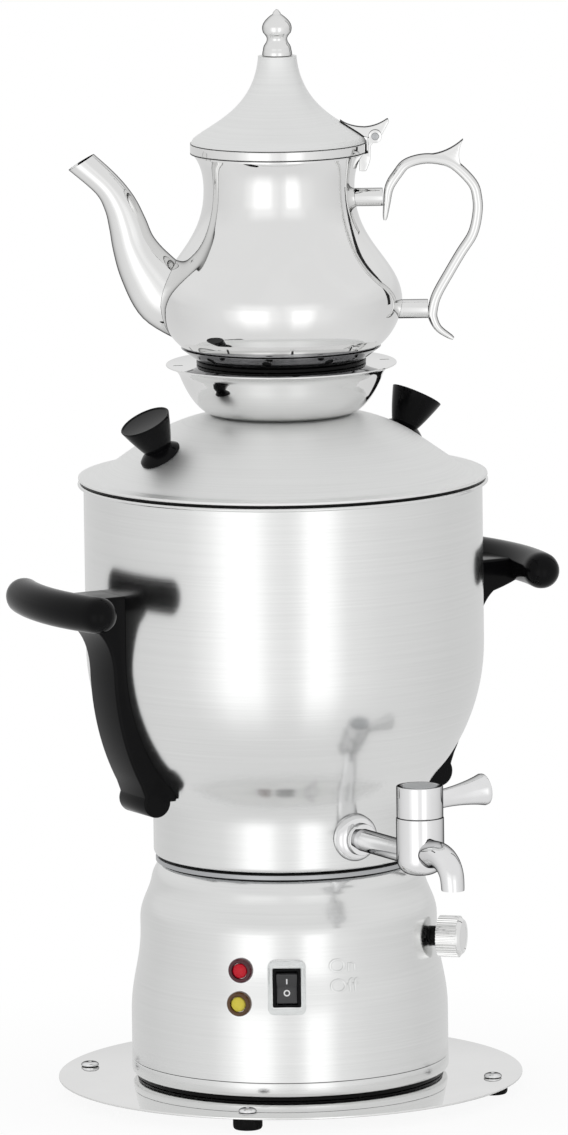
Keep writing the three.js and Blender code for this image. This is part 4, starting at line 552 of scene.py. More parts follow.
# inner and outer radius, bottom and top, rounding of the lower and upper edge; finish, slot if not its own, node
baseRings = {
    "plateSeal": ((78.5, 82.5, 9.0, 10.8, 0.3, 0.3), "blackSealAndShadow", None, "base_seal_ring"),
    "footBand": ((80.3, 85.3, 11.1, 19.1, 2.4, 0.4), "satinSteel", "polished_steel", "base_ring"),
    "jointSeal": ((62.3, 69.3, 125.6, 129.4, 0.4, 0.4), "blackSealAndShadow", None, "joint_gasket"),
    "jointBand": ((69.6, 71, 126.3, 128.7, 0.3, 0.3), "dullSteel", None, "joint_collar"),
}
shell = {"wall": 1.2, "top": 125.3, "widest": 85.2, "mouth": 62}
shellOutside = [(85.2, 19.4), (85.2, 43.4)] + bend((85.2, 43.4), (85.2, 62), (79.8, 71), (79.8, 88.7))[1:]
shellOutside += bend((79.8, 95), (79.8, 103.5), (74.8, 109), (73.4, 116.7))
shellOutside += arc((73.4, 116.7), (72.5, 121.8), (69, shell["top"]))[1:]
# pairs are width and height as seen from the front
switch = {"azimuth": -31, "up": 70.5, "opening": (13, 19), "bezel": (15.2, 21.2), "proud": 2.2, "body": (12.6, 18.6),
          "depth": 15, "well": (11.6, 18.2), "frame": (20.4, 29), "frameThick": 3.2, "window": (15.9, 21.9)}


def shellRadiusAt(z):
    for (lowR, lowZ), (highR, highZ) in zip(shellOutside, shellOutside[1:]):
        if lowZ <= z <= highZ and highZ > lowZ:
            return between(lowR, highR, (z - lowZ) / (highZ - lowZ))


def makePlate():
    sheet = ring(0, plate["radius"], plate["bottom"], plate["top"], plate["edge"], plate["edge"], finest)
    finishPiece("plateSheet", sheet, "mirrorSteel", "base", "base_plate")


def makeFeet():
    r, h = feet["radius"], feet["height"]
    head, tall, shank = screw["radius"], screw["height"], screw["shank"]
    low = plate["top"] + screw["lift"]
    deep = low - screw["length"]
    for i in range(feet["count"]):
        azimuth = feet["azimuth"] + 360 / feet["count"] * i
        foot = turned([(0, 0), (r - 0.8, 0, 0.4), (r, 1.2, 0.6), (r, h - 0.4, 0.3), (r - 0.4, h), (0, h)], 40)
        foot = facing(moved(foot, feet["circle"]), azimuth)
        finishPiece("footPad%d" % (i + 1), foot, "blackRubber", "base", "foot_%d" % (i + 1))
        dome = [(0, deep), (shank, deep), (shank, low), (head, low, 0.3), (head, low + tall * 0.3)]
        dome += arc((head, low + tall * 0.35), (head * 0.85, low + tall), (head * 0.3, low + tall), 8)
        dome += [(head * 0.22, low + tall - 0.05), (head * 0.16, low + tall - 0.7), (0, low + tall - 0.9)]
        raised = facing(moved(turned(dome, 40), feet["circle"]), azimuth)
        finishPiece("plateScrew%d" % (i + 1), raised, "chromePlate", "base", "foot_screw_%d" % (i + 1))


def makeBaseRings(*names):
    for name in names:
        sizes, finish, slot, node = baseRings[name]
        finishPiece(name, ring(*sizes), finish, "base", node, slot=slot)


def makeHousing():
    outside, inside = walled(shellOutside, shell["wall"])
    edge = [(shell["mouth"], shell["top"]), (shell["mouth"], shell["top"] - shell["wall"])]
    opening = moved(roundedBlock(*switch["opening"], 20, 0.6), 68, 0, switch["up"])
    sheet = cutBy(turned(outside + edge + inside, fine), facing(opening, switch["azimuth"]))
    finishPiece("baseHousing", sheet, "satinSteel", "base", "base_shell")


makePlate()
makeFeet()
makeBaseRings("plateSeal", "footBand")
makeHousing()
makeBaseRings("jointSeal", "jointBand")
print("base made")

# vessel

vessel = {"wall": 1, "radius": 106.7, "rim": 109.8, "rimBottom": 329.3, "fillTop": 330}
vesselOutside = [(0, 129.7), (68.6, 129.7)] + arc((69, 129.7), (72, 129.9), (72, 132.9), 6)
vesselOutside += [(72, 152)] + arc((72, 152), (72, 164.3), (84.5, 177.5))[1:]
vesselOutside += bend((84.5, 177.5), (93.5, 188.5), (vessel["radius"], 212), (vessel["radius"], 243.7), 16)[1:]
vesselOutside += [(vessel["radius"], vessel["rimBottom"])]


def vesselSolid(growth):
    # the vessel's outside as one body, which cuts what is seated on it
    outer, top = walled(vesselOutside, -growth)[1][::-1], vessel["fillTop"]
    return turned([(0, outer[0][1])] + outer[1:] + [(outer[-1][0], top), (0, top)], fine)


def makeVessel():
    outside, inside = walled(vesselOutside, vessel["wall"])
    low, rim = vessel["rimBottom"], vessel["rim"]
    bead = arc((107.2, low + 0.1), (rim, low + 0.1), (rim, low + 1.1), 6)
    bead += arc((rim, low + 1.2), (rim, low + 2.2), (108.4, low + 2.3), 6) + [(105.9, low + 2.3, 0.2)]
    finishPiece("waterVessel", turned(outside + bead + inside, finest), "satinSteel", "base", "vessel")


makeVessel()
print("vessel made")

# lid, its knobs and the stand

lid = {"wall": 1, "flange": 109.5, "low": 333.0, "lip": 104.6, "lipBottom": 324}
# painted shade: a thin black ring under the lid's flange stands for the shadow in the gap above the vessel's rim
lidShadowRing = {"inner": 105.4, "outer": 108.6, "thick": 1.2, "gap": 0.1, "edge": 0.3}
lidKnob = {"circle": 76, "tilt": 28, "up": 351.5, "length": 21, "foot": 11.9, "waist": 7.5, "waistUp": 3.8,
           "top": 13.9, "turn": 2, "gap": 0.3}
stand = {"low": 367.5, "top": 394.5, "flange": 61.7, "inner": 42, "wall": 0.9, "lip": 32}
slots = {"count": 8, "first": 22.5, "length": 5.3, "width": 1.5, "depth": 1.9, "circle": 55.6}
standSeal = (42.3, 45.3, 394.8, 396.6, 0.3, 0.5)
dish = {"low": 396.9, "height": 6.4, "foot": 45, "rim": 53.5, "ledge": 32, "wall": 0.9, "holes": 9, "hole": 2.5,
        "turn": -39}


def makeLid():
    low, lip, flange, lipLow = lid["low"], lid["lip"], lid["flange"], lid["lipBottom"]
    outside = [(100, low), (100.4, low + 1.6)] + arc((100, low + 1.7), (99.5, low + 1.9), (97.5, low + 3.3), 4)[1:]
    outside += [(76.6, low + 18.1)] + arc((76.6, low + 18.1), (60, low + 30.7), (37.4, low + 34.1), 14)[1:]
    outer, inner = walled(outside + [(33, low + 34.2)], lid["wall"])
    outline = [(flange, low, 0.5), (flange, low + 1.6, 0.5)] + outer[1:] + inner[:-2]
    outline += [(99, low + 1), (lip - 1, low + 0.4), (lip - 1, lipLow), (lip, lipLow), (lip, low)]
    finishPiece("vesselLid", turned(outline, finest), "lidSteel", "lid_group", "lid")
    # painted shade: the black ring paints the shadow line under the flange
    top, edge = low - lidShadowRing["gap"], lidShadowRing["edge"]
    shadowRing = ring(lidShadowRing["inner"], lidShadowRing["outer"], top - lidShadowRing["thick"], top, edge, edge, finest)
    finishPiece("lidShadowRing", shadowRing, "blackSealAndShadow", "lid_group")


def makeLidKnobs():
    foot, waist, up, top, tall = [lidKnob[part] for part in ("foot", "waist", "waistUp", "top", "length")]
    low = lid["low"] + lidKnob["gap"]
    for side, azimuth in (("left", lidKnob["turn"] - 90), ("right", lidKnob["turn"] + 90)):
        outline = [(0, -3), (foot, -3), (foot, -0.2, 0.4)]
        outline += arc((foot - 0.1, 0.3), (foot - 1.5, up / 2), (waist, up), 8)
        outline += arc((waist, up + 0.1), ((waist + top) / 2, between(up, tall, 0.4)), (top, tall - 0.3), 12)
        outline += [(top, tall, 0.25), (top - 0.8, tall, 0.3), (top - 1.3, tall - 0.6, 0.3), (0, tall - 0.8)]
        body = moved(rotated(turned(outline, 72), lidKnob["tilt"]), lidKnob["circle"], 0, lidKnob["up"])
        crown = arc((76.2, low + 18.5), (59.6, low + 31.1), (37, low + 34.5), 14)[1:]
        fill = [(0, 320), (100, 320), (100.2, low + 1.6), (76.2, low + 18.5), *crown, (0, low + 34.5)]
        body = facing(cutBy(body, turned(fill, fine)), azimuth)
        finishPiece("lidKnob_" + side, body, "blackGloss", "lid_group", "lid_knob_" + side)


def makeStand():
    low, top, wall, flange, lip = [stand[part] for part in ("low", "top", "wall", "flange", "lip")]
    bowl = arc((37.5, low), (47.5, low + 3), (54.5, low + 21.2), 14)
    bowl += arc((54.5, low + 21.2), (56.2, low + 25), (61.2, top - 0.9), 6)[1:]
    outer, inner = walled(bowl, wall)
    outline = [(lip - wall, low - 4), (lip, low - 4), (lip, low)] + outer
    outline += [(flange, top - 0.7, 0.2), (flange - 0.2, top, 0.2), (stand["inner"], top)]
    outline += [(stand["inner"], top - wall), (flange - 3.4, top - wall)] + inner[3:] + [(lip - wall, low + wall)]
    cutters = []
    for i in range(slots["count"]):
        slot = box(slots["length"], slots["width"], slots["depth"])
        bevelled(slot, [e for e in slot.edges if abs(e.verts[0].co.z - e.verts[1].co.z) > 1], 0.7, 4)
        cutters.append(facing(moved(slot, slots["circle"], 0, top - 0.3), slots["first"] + 360 / slots["count"] * i))
    bowlSheet = cutBy(turned(outline, fine), merged(cutters))
    finishPiece("steamStand", bowlSheet, "mirrorSteel", "stand_group", "steam_stand")
    finishPiece("standRing", ring(*standSeal), "blackSealAndShadow", "stand_group", "stand_seal")


def makeWarmingRing():
    low, high, wall = dish["low"], dish["low"] + dish["height"], dish["wall"]
    foot, rim, ledge = dish["foot"], dish["rim"], dish["ledge"]
    flare = turned([(ledge, low), (foot, low, 0.8), (rim, high, 0.2), (rim - wall, high, 0.2),
                    (foot - 0.5, low + wall, 0.6), (ledge, low + wall)], 180)
    rise = math.degrees(math.atan2(dish["height"], rim - foot))
    drills = []
    for i in range(dish["holes"]):
        drill = moved(rotated(rod(dish["hole"], 5, 24), -rise), (foot + rim) / 2, 0, low + dish["height"] / 2)
        drills.append(facing(drill, dish["turn"] + 360 / dish["holes"] * i))
    finishPiece("warmingDish", cutBy(flare, merged(drills)), "heatTintedSteel", "stand_group", "warming_ring")
    lining = turned([(foot - 0.6, low + wall + 0.2), (rim - wall - 0.3, high - 0.7), (rim - wall - 0.7, high - 0.7),
                     (foot - 1, low + wall + 0.2)])
    finishPiece("dishLining", lining, "blackRubber", "stand_group")


makeLid()
makeLidKnobs()
makeStand()
makeWarmingRing()
print("lid and stand made")

# teapot

pot = {"azimuth": 60, "wall": 0.9, "fillTop": 512}
potOutside = [(0, 398.1), (38, 398.1)] + bend((40, 398.1), (52, 400), (63.5, 411), (65.1, 427), 16)
potOutside += bend((65.1, 427), (65.1, 449), (40.2, 457), (40.2, 488), 20)[1:]
potOutside += arc((40.2, 488), (40.2, 499.5), (45, 506))[1:] + [(45, 507.1)]
strainer = {"out": 60, "up": 433.1, "pitch": 6.5, "hole": 2,
            "places": ((0, 0), (-1, 0), (1, 0), (-0.5, 0.9), (0.5, 0.9), (-0.5, -0.9), (0.5, -0.9))}
# middle out and up, heading, half height, half width
spout = {"wall": 0.9, "stations": [
    (46, 424.2, 22, 19.2, 14), (62, 433, 40, 18, 13.5), (72, 447, 60, 14.5, 12), (78, 459.6, 73, 11.5, 10.5),
    (81, 470.2, 75, 10.1, 9.5), (85, 481, 65, 8.7, 8.5), (92, 491.5, 50, 7.5, 7.5), (105.1, 503.5, 58.5, 8, 6.6)]}
strap = {"width": 9, "thick": 5.3, "tip": 1.5, "middle": [
    (56.2, 470.5), (57.3, 479), (58.8, 488), (63.5, 495.5), (68, 500.4), (76.5, 502.9), (85.3, 502.5), (93.5, 499.5),
    (103, 489.8), (105.5, 482), (105.6, 473.5), (103, 462.5), (96.6, 452.5), (90, 441.5), (83.5, 430), (81.2, 422),
    (81.3, 417.5), (84.5, 411.5), (92, 406.3)]}
posts = {"upper": (4.85, 482.8, 55.2), "lower": (5.1, 422.5, 78.7)}  # radius, height, outer end


def potSolid(growth=0.1):
    # the teapot's outside as one body, which cuts what is soldered to it
    grown, top = walled(potOutside[1:], -growth)[1][::-1], pot["fillTop"]
    return turned([(0, grown[0][1])] + grown + [(grown[-1][0], top), (0, top)], 96)


def makePotBody():
    outside, inside = walled(potOutside, pot["wall"])
    drills, pitch = [], strainer["pitch"]
    for across, up in strainer["places"]:
        drill = outward(rod(strainer["hole"], 30, 16))
        moved(drill, strainer["out"], across * pitch, strainer["up"] + up * pitch)
        drills.append(facing(drill, pot["azimuth"] + 180))
    body = cutBy(turned(outside + inside, fine), merged(drills))
    finishPiece("potBody", body, "mirrorSteel", "teapot", "teapot_body")


def makeSpout():
    wall = spout["wall"]
    path = alongSpline(spout["stations"], 6)
    inner = [(x, z, h, tall - wall, wide - wall) for x, z, h, tall, wide in path]
    x, z, h, tall, wide = inner[-1]
    inner.append((x + 3 * math.cos(math.radians(h)), z + 3 * math.sin(math.radians(h)), h, tall, wide))
    tube = cutBy(lofted(path, 40), lofted(inner, 40), potSolid())
    finishPiece("potSpout", facing(tube, pot["azimuth"] + 180), "trimSteel", "teapot", "teapot_spout")


def makePotHandle():
    path = alongSpline(strap["middle"], 5)
    rings = []
    for i, (x, z) in enumerate(path):
        fromEnd = min(i, len(path) - 1 - i) / 12
        thick = between(strap["tip"], strap["thick"], min(fromEnd, 1) ** 0.6)
        wide = strap["width"] / 2 * (0.72 + 0.28 * min(fromEnd, 1) ** 0.5)
        rings.append((x, z, headingOf(path, i), thick / 2, wide))
    bow = facing(lofted(rings, 24, 3.2), pot["azimuth"])
    spur = [(80, 503.5)] + arc((80, 505.2), (90, 505.9), (98.3, 513.2), 8)
    spur += arc((98.3, 513.2), (94.6, 506.5), (97, 499.5), 8)[1:]
    rest = facing(slab(spur, strap["width"] * 0.86, 0.8), pot["azimuth"])
    finishPiece("potHandle", joinedTo(bow, rest), "trimSteel", "teapot", "teapot_handle", sharpFrom=50)
    for name, (radius, up, end) in posts.items():
        post = moved(outward(turned([(0, 38), (radius, 38), (radius, end, 0.3), (0, end)], 40)), z=up)
        post = facing(cutBy(post, potSolid()), pot["azimuth"])
        finishPiece("potPost_" + name, post, "trimSteel", "teapot", "teapot_handle_post_" + name)


potLid = {"low": 507.4, "radius": 47, "top": 559, "lip": 41.2, "lipBottom": 503.4}
potLidBand = (46, 47.1, 507.9, 512.4, 0.3, 0.3)
potFinial = [((6.6, 565.2), (5.4, 566.6), (5.4, 568.2), 4), ((5.4, 568.2), (5.6, 569.6), (7.3, 571.3), 4),
             ((7.3, 571.3), (8.8, 574.6), (6.4, 577.7), 8), ((6.4, 577.7), (4.2, 580.2), (2.3, 581.2), 5),
             ((2.3, 581.2), (1.6, 583.2), (0, 584), 4)]
# painted shade: two thin black rings stand for the shadow lines above and below the lid's flange band, the lower one
# the gap over the pot's rim
potLidShadowLines = {"upper": (45.8, 46.98, 512.5, 512.9), "lower": (46, 47.1, 507.3, 507.85)}


def makePotLid():
    low, radius, top, lip, lipLow = [potLid[part] for part in ("low", "radius", "top", "lip", "lipBottom")]
    outline = [(lip, low), (radius, low, 0.4), (radius, 512.4, 0.8), (45.5, 515)]
    outline += bend((45.5, 515), (35, 523.5), (12.5, 531), (10.2, top), 24)[1:] + [(10, top, 0.3), (0, top)]
    inside = walled(bend((44.4, 514), (34.5, 522.3), (11.6, 530), (9.2, 558), 18), 0.1)[1]
    outline += [(0, top - 1.1), *inside, (lip - 1, 510.5), (lip - 1, lipLow), (lip, lipLow)]
    finishPiece("potLid", turned(outline), "lidSteel", "teapot_lid_group", "teapot_lid", slot="polished_steel")
    finishPiece("potLidBand", ring(*potLidBand), "mirrorSteel", "teapot_lid_group")
    # painted shadow lines above and below the flange band
    for name, sizes in potLidShadowLines.items():
        finishPiece("potLidShadowLine_" + name, ring(*sizes), "blackSealAndShadow", "teapot_lid_group")
    finial = [(0, 559.3), (8, 559.3, 0.3), (7.8, 561.4, 0.4)] + arc((7.6, 562), (7.4, 564.2), (6.6, 565.2), 4)
    for start, handleSpot, end, steps in potFinial:
        finial += arc(start, handleSpot, end, steps)[1:]
    finishPiece("potFinial", turned(finial, 48), "trimSteel", "teapot_lid_group", "lid_finial")


hinge = {"out": 51.5, "up": 515.9, "pin": 1.9, "pinLength": 14, "lever": 6.8, "ear": 3, "radius": 3.5, "gap": 0.3,
         "slot": (13, 7.6), "sweep": 5.8}


def makePotHinge():
    wide, ear, radius, gap = [hinge[part] for part in ("lever", "ear", "radius", "gap")]
    earSide, slotWide = wide / 2 + gap + ear / 2, wide + 2 * gap

    def eye(radius, width, side=0):
        return moved(rotated(rod(radius, width, 40, 0.25), 90, "X"), hinge["out"], side, hinge["up"])

    def lidFill(grown):
        crown = bend((45.5 + grown, 515 + grown), (35 + grown, 523.5 + grown), (12.5 + grown, 531 + grown),
                     (10.2 + grown, 559))
        return turned([(0, 507), (47.1 + grown, 507), (47.1 + grown, 512.5 + grown), *crown, (0, 559)], 96)

    leg = slab([(43, 497.5), (46.5, 497.3, 0.8), (48.8, 503, 1.5), (49, 511, 0.5), (52, 514), (51, 517), (47.6, 515),
                (47.6, 507), (43, 507)], wide + 2 * (gap + ear), 0.4)
    bracket = joinedTo(leg, eye(radius, ear, earSide), eye(radius, ear, -earSide))
    slot = moved(box(hinge["slot"][0], slotWide, hinge["slot"][1]), hinge["out"], 0, hinge["up"])
    lidRoom = turned([(0, 507.1), (47.3, 507.1), (47.3, 514), (40, 521), (0, 521)], 96)
    bracket = cutBy(bracket, slot, potSolid(), eye(hinge["sweep"], slotWide), lidRoom, eye(hinge["pin"] + 0.1, 20))
    finishPiece("potHingeBracket", facing(bracket, pot["azimuth"]), "trimSteel", "teapot", "hinge_bracket")
    pin = eye(hinge["pin"], hinge["pinLength"])
    finishPiece("potHingePin", facing(pin, pot["azimuth"]), "dullSteel", "teapot", "hinge_pin")
    plan = [(33, 518), (50, 514.5), (55, 516), (58.9, 523.2, 0.4), (58.5, 524.7, 0.4)]
    plan += arc((57.6, 524.4), (52.5, 520.8), (46, 520.4), 8) + arc((46, 520.4), (38, 520.6), (33, 524.3), 6)[1:]
    lever = joinedTo(slab(plan, wide, 0.5), eye(radius, wide - 0.2))
    # painted shadow: a thin black sheet on the lid, a little wider than the thumb lever, darkens the lid under the
    # lever
    leverShadow = cutBy(combined(slab(plan, wide + 0.5, 0.2), lidFill(0.6), "INTERSECT"), lidFill(0.1))
    finishPiece("potLeverShadow", facing(leverShadow, pot["azimuth"]), "blackSealAndShadow", "teapot_lid_group")
    lever = cutBy(lever, eye(hinge["pin"] + 0.15, 12), lidFill(0.1))
    finishPiece("potThumbLever", facing(lever, pot["azimuth"]), "trimSteel", "teapot_lid_group", "thumb_lever")


makePotBody()
makeSpout()
makePotHandle()
makePotLid()
makePotHinge()
print("teapot made")

# carrying handles

grip = {"circle": 142.5, "radius": 9.8, "half": 16.5, "up": 275.2, "endLeans": (86, 76, 64, 50, 35, 18), "steps": 24,
        "seatGrowth": (1.0015, 1.004, 1.03)}
handle = {"width": 28.6, "top": 279.2, "foot": 8, "footOut": 87.6, "footUp": 166.2, "edge": 1.6, "footEdge": 1}


def makeGripTube():
    # a rod bent round the vessel's axis, with rounded ends
    half, radius, circle = math.radians(grip["half"]), grip["radius"], grip["circle"]
    slopes = [math.radians(lean) for lean in grip["endLeans"]]
    rings = [(-half, radius * math.cos(slope), -radius * math.sin(slope)) for slope in slopes]
    rings += [(between(-half, half, i / grip["steps"]), radius, 0) for i in range(grip["steps"] + 1)]
    rings += [(-angle, r, -reach) for angle, r, reach in rings[:len(slopes)][::-1]]
    stations = []
    for angle, r, reach in rings:
        x = circle * math.sin(angle) + reach * math.cos(angle)
        z = -circle * math.cos(angle) + reach * math.sin(angle)
        stations.append((x, z, math.degrees(angle), r, r))
    return rotated(rotated(lofted(stations, 40), -90, "X"), 90, "Z")


def makeHandles():
    up, top, wide = grip["up"], handle["top"], handle["width"]
    for side, azimuth in (("left", -90), ("right", 90)):
        tube = makeGripTube()
        seat = tube.copy()
        bmesh.ops.scale(seat, vec=grip["seatGrowth"], verts=seat.verts)
        tube = facing(moved(tube, z=up), azimuth)
        finishPiece("carryGrip_" + side, tube, "blackGloss", "base", "handle_grip_" + side)
        outline = [(80, top), (133.6, top, 0.6), (140, 276), (140, up - 7)]
        outline += arc((137, up - 8.6), (131, up - 11.2), (123, up - 13.4), 6)
        outline += arc((123, up - 13.4), (113.4, up - 21), (112.4, up - 38), 10)[1:]
        outline += arc((112.4, up - 38), (111.5, 203), (97.2, 176), 16)[1:]
        outline += [(95.3, 171), (94.5, 168), (88, 166), (76, 166), (70, 190), (80, 215)]
        foot = rotated(rod(handle["foot"], wide, 48, handle["footEdge"], 3), 90, "X")
        arm = joinedTo(slab(outline, wide, handle["edge"], 4), moved(foot, handle["footOut"], 0, handle["footUp"]))
        whole = cutBy(arm, vesselSolid(0.15), moved(seat, z=up))
        finishPiece("carryBracket_" + side, facing(whole, azimuth), "blackGloss", "base", "handle_bracket_" + side)


makeHandles()
print("handles made")

# tap

tap = {"up": 147.4, "out": 139.6, "low": 137.7, "top": 168.3, "gap": 0.3, "headTop": 185.2, "barrel": 12.65,
       "head": 12.35, "leverTilt": 5.7, "leverDrop": 9.7, "neck": (7.8, 6),
       "middle": [(143, 148.8), (151, 150.2), (160, 150.4), (167, 147.6), (171.4, 142), (172.6, 134.2)],
       "mouth": (172.6, 134.1, -90, 6, 6),
       "bore": [(172.6, 145, -90, 3.2, 3.2), (172.6, 140, -90, 4.6, 4.6), (172.6, 130, -90, 4.8, 4.8)]}


def makeTap():
    up, out, low, top, wide = tap["up"], tap["out"], tap["low"], tap["top"], tap["barrel"]
    collar = [(0, 70), (12.5, 70), (12.5, 73.4, 0.5)] + arc((12.2, 74), (11.5, 76.2), (8.6, 77), 6)
    rosette = moved(outward(turned(collar + [(8.4, 81, 0.4), (0, 81)], 72)), z=up)
    finishPiece("tapRosette", facing(cutBy(rosette, vesselSolid(0.1)), 0), "chromePlate", "base", "tap_rosette")
    barrel = [(0, low), (4.5, low, 1.5)] + arc((6, low + 0.3), (12, low + 2), (wide, low + 8.5), 8)
    barrel += [(wide, top, 0.4), (8.6, top, 0.3), (8.6, top - 5), (0, top - 5)]
    stem = moved(outward(turned([(0, 60), (6, 60), (6, out), (0, out)], 48)), z=up)
    path = alongSpline(tap["middle"], 6)
    radii = [between(*tap["neck"], i / len(path)) for i in range(len(path))]
    rings = [(x, z, headingOf(path, i), radii[i], radii[i]) for i, (x, z) in enumerate(path)]
    rings[-1] = tap["mouth"]
    body = joinedTo(moved(turned(barrel, 72), out), stem, lofted(rings, 40))
    body = facing(cutBy(body, lofted(tap["bore"], 32)), 0)
    finishPiece("tapBody", body, "chromePlate", "base", "tap_body", sharpFrom=45)
    headLow, headTop, head = top + tap["gap"], tap["headTop"], tap["head"]
    cap = turned([(0, headLow), (head, headLow, 0.5), (head, headTop, 0.5), (10.6, headTop, 0.5),
                  (9.6, headTop - 0.9), (0, headTop - 0.9)], 72)
    horn = [(0, 0), (5, 0), (5, 15)] + bend((5, 15), (5.2, 24), (7, 34), (8.5, 38.5))[1:] + [(8.3, 40, 0.4), (0, 40)]
    lever = moved(rotated(turned(horn, 64), 90 - tap["leverTilt"]), z=headTop - tap["leverDrop"])
    finishPiece("tapKey", moved(joinedTo(cap, lever), 0, -out), "chromePlate", "tap_key", "tap_lever", sharpFrom=45)
    disc = turned([(0, headTop - 0.8), (9.1, headTop - 0.8), (9.1, headTop + 0.2, 0.3), (0, headTop + 0.3)], 64)
    finishPiece("tapCapDisc", moved(disc, 0, -out), "dullSteel", "tap_key", "tap_cap")


makeTap()
print("tap made")

# controls

# half is the rocker's half height, rise how far its ends stand above its middle
rockerKey = {"width": 11, "half": 8.2, "middle": 1.5, "rise": 1.9, "back": -4.4, "backHalf": 2.7, "tilt": 9,
             "sunk": 3}
rockerMarks = {"stroke": (0.75, 3.2, 0.5, 0.1), "strokeUp": 4.1, "ringUp": -2.6, "proud": 0.25, "ring": (1.05, 1.75)}


def makeSwitch():
    radius, up, azimuth = shellRadiusAt(switch["up"]), switch["up"], switch["azimuth"]
    face = radius + switch["proud"]

    def shellFill():
        grown = [(r + 0.1, z) for r, z in shellOutside[1:]]
        return turned([(0, 20), (shell["widest"] + 0.1, 20), *grown, (0, shell["top"])], fine)

    def placed(size, depth, rounding, start, edge=0.0):
        return moved(roundedBlock(*size, depth, rounding, edge), start, 0, up)

    bezel = cutBy(placed(switch["bezel"], switch["proud"] + 2, 0.9, radius - 2, 0.5), shellFill())
    body = placed(switch["body"], switch["depth"], 0.5, radius - switch["depth"])
    housing = cutBy(joinedTo(bezel, body), placed(switch["well"], 12, 0.4, face - 9))
    finishPiece("switchCase", facing(housing, azimuth), "blackGloss", "base", "switch_housing")
    half, middle, rise = rockerKey["half"], rockerKey["middle"], rockerKey["rise"]
    back, backHalf, pivot = rockerKey["back"], rockerKey["backHalf"], face - rockerKey["sunk"]
    profile = [(middle + rise, -half, 0.5), (middle, 0, 1.0), (middle + rise, half, 0.5), (0, half), (back, backHalf),
               (back, -backHalf), (0, -half)]
    rocker = moved(rotated(slab(softened(profile), rockerKey["width"], 0.3, 2), rockerKey["tilt"]), pivot, 0, up)
    finishPiece("switchKey", facing(rocker, azimuth), "rockerBlack", "rocker", "switch_rocker")
    proud = rockerMarks["proud"]
    stroke = moved(roundedBlock(*rockerMarks["stroke"]), -proud)
    hoop = outward(ring(*rockerMarks["ring"], -proud, proud, sides=40))
    slope = math.degrees(math.atan2(rise, half))
    for name, mark, at in (("switchMarkOn", stroke, rockerMarks["strokeUp"]),
                           ("switchMarkOff", hoop, rockerMarks["ringUp"])):
        moved(rotated(mark, slope if at > 0 else -slope), middle + abs(at) * rise / half, 0, at)
        moved(rotated(mark, rockerKey["tilt"]), pivot, 0, up)
        finishPiece(name, facing(mark, azimuth), "whitePrint", "rocker")
    surround = placed(switch["frame"], switch["frameThick"] + 2, 3.6, radius - 2, 0.8)
    surround = cutBy(surround, placed(switch["window"], 9, 1, radius - 3), shellFill())
    finishPiece("switchSurround", facing(surround, azimuth), "clearCover", "base", "switch_frame")


words = {"texts": {"wordOn": ("On", 80.6), "wordOff": ("Off", 69.9)}, "azimuth": -9.3, "rise": 0.9, "widen": 1.2}
letters = {"size": 10.4, "extrude": 0.6, "bevel_depth": 0.25, "bevel_resolution": 2, "offset": -0.2,
           "align_x": "CENTER", "align_y": "CENTER"}


def makeWords():
    # each word is pressed out of the shell, so its letters follow the shell's curve
    deep = letters["extrude"] + letters["bevel_depth"]
    for name, (text, up) in words["texts"].items():
        curve = bpy.data.curves.new(name, "FONT")
        curve.body = text
        for label, value in letters.items():
            setattr(curve, label, value)
        writing = bpy.data.objects.new(name + "Curve", curve)
        scene.collection.objects.link(writing)
        bpy.context.view_layer.update()
        plain = bpy.data.meshes.new_from_object(writing)
        bpy.data.objects.remove(writing)
        bm = bmesh.new()
        bm.from_mesh(plain)
        bmesh.ops.remove_doubles(bm, verts=bm.verts, dist=textWeld)
        for corner in bm.verts:
            across, height, proud = corner.co
            radius = shellRadiusAt(up + height)
            turn = math.radians(words["azimuth"]) + across * words["widen"] / radius
            radius += words["rise"] - deep + proud
            corner.co = (math.sin(turn) * radius, -math.cos(turn) * radius, up + height)
        finishPiece(name, bm, "satinSteel", "base")


lamps = {"azimuth": -48.7, "heating": (79.0, "darkRed", "redLens"), "keep_warm": (61.5, "amberBrown", "yellowLens")}


def makeLamps():
    for name in ("heating", "keep_warm"):
        up, bezelFinish, lensFinish = lamps[name]
        r = shellRadiusAt(up)
        start = r - 1.4
        bezel = [(4.3, start - 6), (5.2, start - 6), (5.2, start), (6.7, start), (6.7, r + 1.6, 0.7),
                 (5.6, r + 3.3, 0.7), (4.3, r + 2.6, 0.3)]
        finishPiece(name + "Bezel", stud(bezel, up, lamps["azimuth"], 56), bezelFinish, "base", name + "_lamp_bezel")
        lens = [(0, r - 5), (4, r - 5), (4, r + 1.6)] + arc((4, r + 1.8), (3.4, r + 3), (0, r + 3.2), 8)
        finishPiece(name + "Lens", stud(lens, up, lamps["azimuth"]), lensFinish, "base", name + "_lamp_lens")


dial = {"azimuth": 45, "up": 86.1, "radius": 11.15, "length": 11, "gap": 4, "ribs": 40, "rib": 0.65}


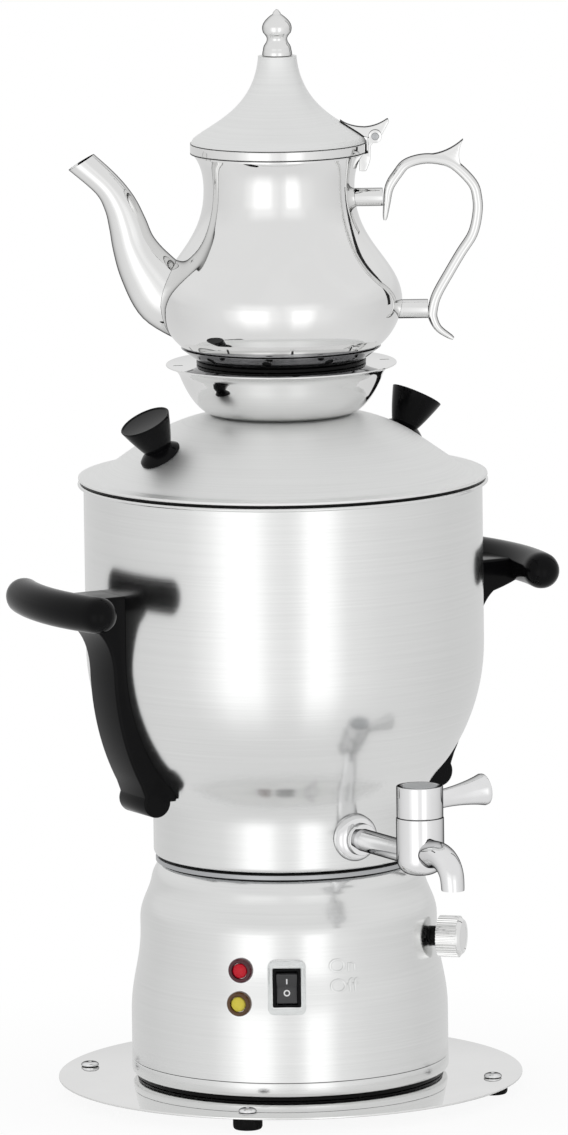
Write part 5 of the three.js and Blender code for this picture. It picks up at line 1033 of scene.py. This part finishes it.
def makeThermostat():
    r = shellRadiusAt(dial["up"])
    bush = [(3.3, r - 5), (4.2, r - 5), (4.2, r), (5.4, r), (5.4, r + 3, 0.4), (3.3, r + 3, 0.3)]
    finishPiece("thermostatCollar", stud(bush, dial["up"], dial["azimuth"]), "blackGloss", "base", "thermostat_bush")
    drum = bmesh.new()
    made = bmesh.ops.create_circle(drum, cap_ends=True, segments=dial["ribs"] * 4, radius=dial["radius"])["verts"]
    for i, corner in enumerate(made):
        if i % 4 in (0, 1):
            corner.co *= 1 - dial["rib"] / dial["radius"]
    extruded(drum, list(drum.faces), (0, 0, dial["length"]))
    nose = turned([(0, 3), (9, 3), (10.3, 10.4), (10.3, 11.4, 0.5), (8.8, 13.2, 0.4), (7.9, 13.4), (7.4, 12.9),
                   (0, 12.8)], 96)
    skirt = turned([(0, 0), (10.3, 0, 0.3), (10.3, 4), (0, 4)], 96)
    whole = moved(outward(joinedTo(drum, nose, skirt)), r + dial["gap"], 0, dial["up"])
    finishPiece("thermostatDial", facing(whole, dial["azimuth"]), "mirrorSteel", "knob", "thermostat_knob",
                slot="chrome", sharpFrom=25)


gland = {"azimuth": 180, "up": 40.7}


def makeGland():
    r = shellRadiusAt(gland["up"])
    body = [(0, r - 4), (6, r - 4), (6, r), (9, r), (9, r + 2.8, 0.6), (6.2, r + 3.2, 0.4), (5, r + 11.8, 0.5),
            (3.4, r + 11.9, 0.3), (3.3, r + 8.6), (0, r + 8.5)]
    finishPiece("cableBush", stud(body, gland["up"], gland["azimuth"]), "blackGloss", "base", "cable_gland")


makeSwitch()
makeWords()
makeLamps()
makeThermostat()
makeGland()
print("controls made")

# CAD nodes that stay as they are get their finishes

carried = {
    "castAluminium": ("heater_plate",),
    "dullSteel": ("heater_element", "tie_rod", "tie_nut", "thermostat_shaft", "handle_bolt_left",
                  "handle_bolt_right"),
    "whiteCeramic": ("thermal_cutout", "thermostat_body"),
    "turnedBrass": ("tap_lock_nut", "tap_plug"),
}
for finish, names in carried.items():
    for name in names:
        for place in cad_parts[name].material_slots:
            place.link = "OBJECT"
            place.material = finishes[finish]
